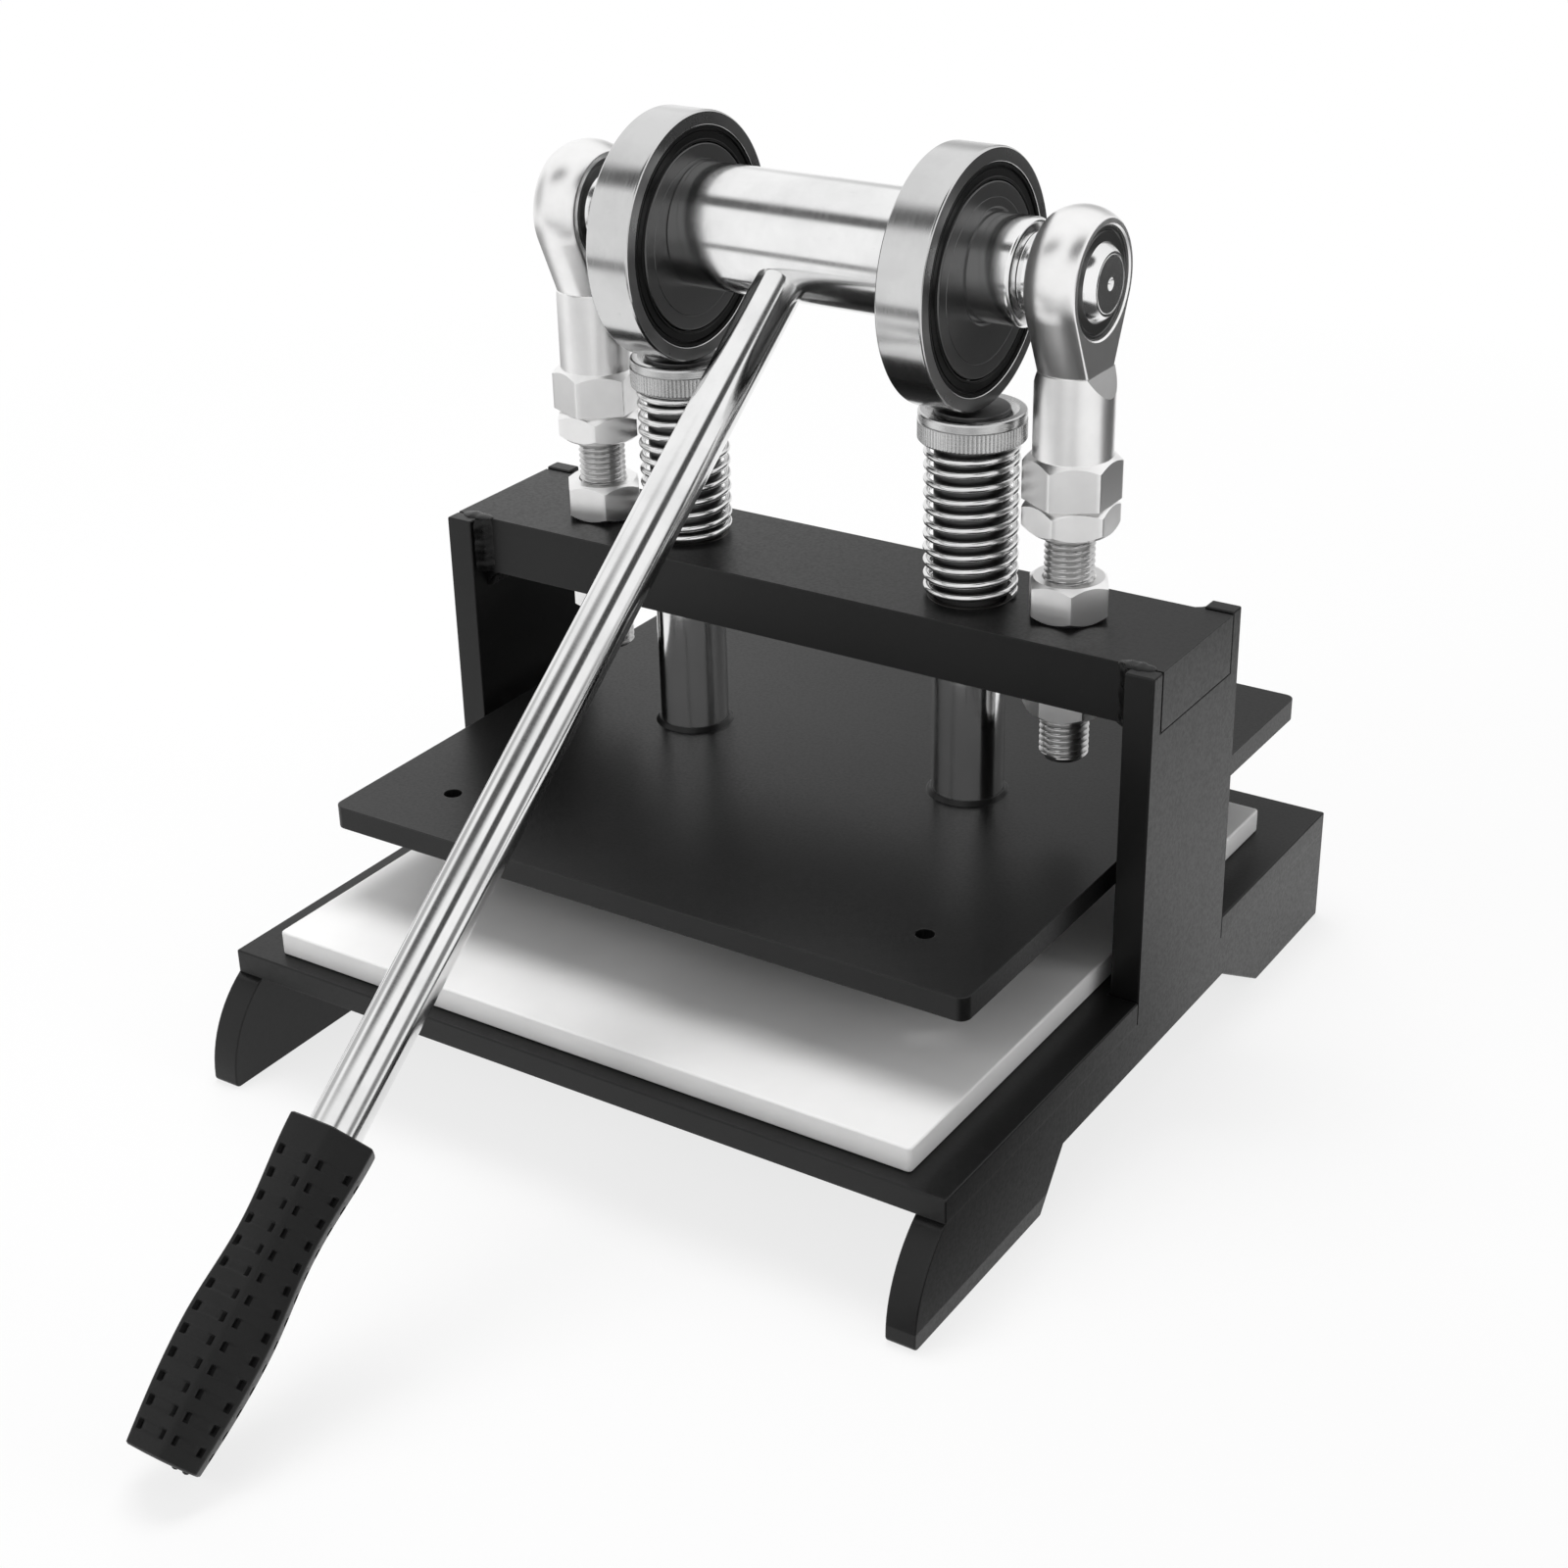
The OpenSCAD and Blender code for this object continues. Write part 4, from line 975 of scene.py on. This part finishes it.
LEVER_R, SPIGOT_R, REACH, GRIP_L = 8.0, 6.0, 410.0, 97.0
SPIGOT_FROM, ROD_END, LEVER_STEPS = -4.5, REACH - 6.0, 24
lever_from = Vector((box_of("lever_rod")[2].x, axle.y, axle.z))
profile = [(0, SPIGOT_FROM), (SPIGOT_R - 1, SPIGOT_FROM), (SPIGOT_R, SPIGOT_FROM + 1), (SPIGOT_R, SHAFT_R),
           (LEVER_R - 0.3, SHAFT_R), (LEVER_R, SHAFT_R + 0.3)]
profile += [(LEVER_R, SHAFT_R + (ROD_END - 1 - SHAFT_R) * i / LEVER_STEPS) for i in range(1, LEVER_STEPS + 1)]
profile += [(LEVER_R - 1, ROD_END), (0, ROD_END)]
piece("lever_tube", lathe(profile, lever_from, LEVER_WAY, segments=128), CHROME_LEVER, "lever",
      "ground_steel", "lever_rod")


# Grip: hexagon with a waist and a belly, rounded ridges, and cross grooves that are deep at both ends

KNOTS = (0.0, 0.33, 0.64, 1.0)
HALVES = (LEVER_R + 4.75, LEVER_R + 3.0, LEVER_R + 4.6, LEVER_R + 2.35)
GROOVES, GROOVE_W, FIRST, LAST = 13, 2.6, 0.11, 0.93
GROOVE_DEPTH, GROOVE_SOFTNESS, END_ROUND = 0.95, 0.5, 0.6
RIDGE_BENDS = (0.3, 0.5, 0.7)
FLAT_STEPS = 12
POINTS_PER_FLAT = FLAT_STEPS + 1 + len(RIDGE_BENDS)
DEEP_PLACES = (0, 1, 10, 11)
SKIN_L, SKIN_STEPS = GRIP_L - 0.9, 230
groove_pitch = (LAST - FIRST) * GRIP_L / (GROOVES - 1)
grip_x, grip_y, grip_way = basis(LEVER_WAY)


def smooth(value):
    """0 to 1 with soft ends."""
    value = min(1.0, max(0.0, value))
    return value * value * (3 - 2 * value)


def grip_half(share):
    """Half width across flats at a share of the grip's length."""
    i = 0 if share < KNOTS[1] else 1 if share < KNOTS[2] else 2
    along = (share - KNOTS[i]) / (KNOTS[i + 1] - KNOTS[i])
    bend = 1 - math.cos(math.pi / 2 * along) if i == 2 else (1 - math.cos(math.pi * along)) / 2
    return HALVES[i] + (HALVES[i + 1] - HALVES[i]) * bend


def grip_outline(share, sink, shrink=0.0):
    """Hexagon section with rounded ridges; sink is how deep the groove is cut here."""
    corner, groove_margin, crown = 1.5, 1.6, 0.25
    deep_from, deep_over, shallow, extra = 0.62, 0.22, 0.30, 0.95
    half = grip_half(share) - shrink
    side_half = half * math.tan(math.radians(30))
    groove_half = side_half - groove_margin
    out = []
    for face in range(6):
        turn, turn_next = math.radians(30 + 60 * face), math.radians(90 + 60 * face)
        normal, along = Vector((math.cos(turn), math.sin(turn))), Vector((-math.sin(turn), math.cos(turn)))
        normal_next = Vector((math.cos(turn_next), math.sin(turn_next)))
        along_next = Vector((-math.sin(turn_next), math.cos(turn_next)))
        for j in range(FLAT_STEPS + 1):
            s = (side_half - corner) * (2 * j / FLAT_STEPS - 1)
            deep = smooth((abs(s) - deep_from * groove_half) / (deep_over * groove_half))
            cut = smooth((groove_half - abs(s)) / GROOVE_SOFTNESS) * (shallow + extra * deep)
            bulge = crown * (1 - (s / side_half) ** 2)
            out.append(normal * (half - crown + bulge - sink * cut) + along * s)
        ridge = normal * half + along * side_half
        start = out[-1]
        end = normal_next * (half - crown) - along_next * (side_half - corner)
        for t in RIDGE_BENDS:
            out.append(start * (1 - t) ** 2 + ridge * 2 * t * (1 - t) + end * t ** 2)
    return out


def groove_sink(z):
    """0 beside the grooves and 1 in them, at a distance from the grip's mouth."""
    reach = GROOVE_W / 2 + 0.2
    middles = [FIRST * GRIP_L + g * groove_pitch for g in range(GROOVES)]
    return max(smooth((reach - abs(z - middle)) / GROOVE_SOFTNESS) for middle in middles)


def end_shrink(z):
    """How far the rounded ends draw in, at a distance from the grip's mouth."""
    edge = min(z, SKIN_L - z)
    return END_ROUND * (1 - math.sqrt(max(0.0, 1 - (1 - min(1.0, edge / END_ROUND)) ** 2)))


def grip_point(z, x, y):
    """Point at z from the grip's mouth, x and y across it."""
    return lever_from + grip_way * (REACH - GRIP_L + z) + grip_x * x + grip_y * y


def round_ring(radius, z):
    """Points at one radius, at the angles of the grip's outline."""
    flat = [p.normalized() * radius for p in grip_outline(0.0, 0.0)]
    return [grip_point(z, p.x, p.y) for p in flat]


skin_z = [SKIN_L * i / SKIN_STEPS for i in range(SKIN_STEPS + 1)]
ring_sinks = [groove_sink(z) for z in skin_z]
skin = [[grip_point(z, p.x, p.y) for p in grip_outline(z / GRIP_L, GROOVE_DEPTH * sink, end_shrink(z))]
        for z, sink in zip(skin_z, ring_sinks)]
mouth = [round_ring(LEVER_R + 0.15, 9.0), round_ring(LEVER_R + 0.15, 0.9), round_ring(LEVER_R + 0.9, 0.25)]
tail = [round_ring(6.0, SKIN_L + 0.25), round_ring(2.0, SKIN_L + 0.35)]
nubs = [lathe([(1.1, 0.0), (1.0, 0.5), (0.7, 0.85), (0, 1.05)], grip_point(GRIP_L - 1.1, x, y), LEVER_WAY,
              segments=16) for x, y in ((2.6, -8.0), (-1.6, -8.4))]
rubber = piece("grip_moulded", joined(tube(mouth + skin + tail), *nubs), GRIP, "lever", "black_rubber",
               "grip", sharp=40.0)


def in_deep_end(polygon):
    """Whether a face lies in the deep end of a groove, told by its first point's number."""
    ring, place = divmod(polygon.vertices[0], len(skin[0]))
    ring -= len(mouth)
    return 0 <= ring < SKIN_STEPS and ring_sinks[ring] > 0.4 and place % POINTS_PER_FLAT in DEEP_PLACES


# The deep ends of the grooves get the near-black rubber: painted shade.
second_material(rubber, GRIP_GROOVE_SHADE, in_deep_end)


# CAD nodes that stay: pieces inside others

KEPT = {
    "platen_screws": DARK_STEEL, "eccentric_pins": DARK_STEEL,
    "left_guide_bush": BRONZE, "right_guide_bush": BRONZE, "left_cage": BRONZE, "right_cage": BRONZE,
    "left_bearing_balls": CHROME_LEVEL, "right_bearing_balls": CHROME_LEVEL,
}
for node, material in KEPT.items():
    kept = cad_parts[node]
    kept.data.materials.clear()
    kept.data.materials.append(material)


# Stage: a pale floor, and dark cards that reflections show

def plane(name, centre, across, up, material):
    """Stage card spanned by two half sides, in metres."""
    across, up = Vector(across), Vector(up)
    mesh = bpy.data.meshes.new(name)
    mesh.from_pydata([(-1, -1, 0), (1, -1, 0), (1, 1, 0), (-1, 1, 0)], [], [(0, 1, 2, 3)])
    made = bpy.data.objects.new(name, mesh)
    out = across.cross(up).normalized()
    made.matrix_world = Matrix((
        (across.x, up.x, out.x, centre[0]),
        (across.y, up.y, out.y, centre[1]),
        (across.z, up.z, out.z, centre[2]),
        (0, 0, 0, 1),
    ))
    made.data.materials.append(material)
    collection.objects.link(made)
    return made


def flag(name, centre, across, up, share, core):
    """Dark soft-edged studio card that only reflections show: share is its cover, core its full part."""
    material, tree = new_tree(name)
    cover = remap(tree, length_of(tree, object_coords(tree)), (core, 1.0), (share, 0.0))
    dark = add(tree, "Emission", Color=grey(0.02), Strength=1.0)
    both = add(tree, "MixShader", Fac=cover, i1=add(tree, "BsdfTransparent").outputs[0], i2=dark.outputs[0])
    add(tree, "OutputMaterial", Surface=both.outputs[0])
    made = plane(name, centre, across, up, material)
    made.visible_camera = made.visible_diffuse = made.visible_transmission = made.visible_shadow = False


FLOOR_NEAR, FLOOR_FAR = 0.40, 0.95
floor_material, tree = new_tree("pale_floor")
spread = length_of(tree, add(tree, "NewGeometry").outputs["Position"])
paleness = remap(tree, spread, (FLOOR_NEAR, FLOOR_FAR), (0.78, 1.0))
lit = add(tree, "BsdfDiffuse", Color=grey(0.86))
glow = add(tree, "Emission", Color=WHITE, Strength=1.0)
both = add(tree, "MixShader", Fac=combine(tree, "MULTIPLY", paleness, shown_rays(tree)), i1=lit.outputs[0],
           i2=glow.outputs[0])
add(tree, "OutputMaterial", Surface=both.outputs[0])
plane("floor", (0, 0, 0), (8, 0, 0), (0, 8, 0), floor_material)

flag("floor_right", (0.67, 0.80, 0.004), (0.54, 0, 0), (0, 0.57, 0), share=0.95, core=0.85)
flag("floor_beside", (0.25, -0.04, 0.006), (0.15, 0, 0), (0, 0.27, 0), share=0.95, core=0.60)
flag("floor_front", (0.02, -0.32, 0.005), (0.30, 0, 0), (0, 0.11, 0), share=0.75, core=0.50)
flag("floor_line", (-0.45, -0.68, 0.003), (0.85, 0, 0), (0, 0.26, 0), share=0.75, core=0.55)
flag("floor_left", (-0.62, 0.25, 0.005), (0.30, 0, 0), (0, 0.45, 0), share=0.70, core=0.50)
flag("floor_camera", (0.40, -0.50, 0.007), (0.15, 0.11, 0), (0.33, -0.45, 0), share=0.35, core=0.40)
flag("right_wall", (1.02, 1.28, 0.10), (0.72, -0.62, 0), (0, 0, 0.62), share=0.95, core=0.75)
flag("left_wall", (-1.20, -0.10, 0.42), (0, 0.50, 0), (0, 0, 0.42), share=0.50, core=0.50)
flag("right_side", (1.30, 0.15, 0.25), (0, 0.45, 0), (0, 0, 0.30), share=0.80, core=0.50)
flag("back_wall", (-0.36, 1.58, 0.75), (0.80, 0.10, 0), (0, 0, 0.55), share=0.65, core=0.25)
flag("over_right", (0.90, -0.45, 1.5), (0.50, 0, 0), (0, 0.75, 0), share=0.95, core=0.70)
flag("over_left", (-0.90, -0.62, 1.5), (0.95, 0.10, 0), (-0.04, 0.38, 0), share=0.92, core=0.45)


# World and lights

WORLD_LIGHT = 0.35
world = bpy.data.worlds.new("studio")
bpy.context.scene.world = world
world.use_nodes = True
tree = world.node_tree
tree.nodes.clear()
strength = remap(tree, shown_rays(tree), (0.0, 1.0), (WORLD_LIGHT, 1.0))
background = add(tree, "Background", Color=WHITE, Strength=strength)
add(tree, "OutputWorld", Surface=background.outputs[0])


def softbox(name, at, target, width, height, power):
    """Soft lamp aimed at a point; reflections don't show it."""
    data = bpy.data.lights.new(name, "AREA")
    data.shape = "RECTANGLE"
    data.size, data.size_y = width, height
    data.energy = power
    made = bpy.data.objects.new(name, data)
    made.visible_glossy = False
    made.location = at
    made.rotation_mode = "QUATERNION"
    made.rotation_quaternion = (Vector(target) - Vector(at)).to_track_quat("-Z", "Y")
    collection.objects.link(made)


softbox("top", (-0.25, 0.28, 1.6), (0, 0, 0.1), width=1.0, height=0.6, power=17)
softbox("key", (-0.70, -1.25, 1.0), (0, -0.05, 0.05), width=1.1, height=0.8, power=7)
softbox("side", (1.5, 0.35, 0.7), (0, 0, 0.12), width=0.5, height=1.0, power=4)
softbox("back_left", (-1.00, 1.05, 0.95), (0, 0, 0.05), width=0.7, height=0.5, power=3)

bpy.context.scene.view_settings.view_transform = "Standard"
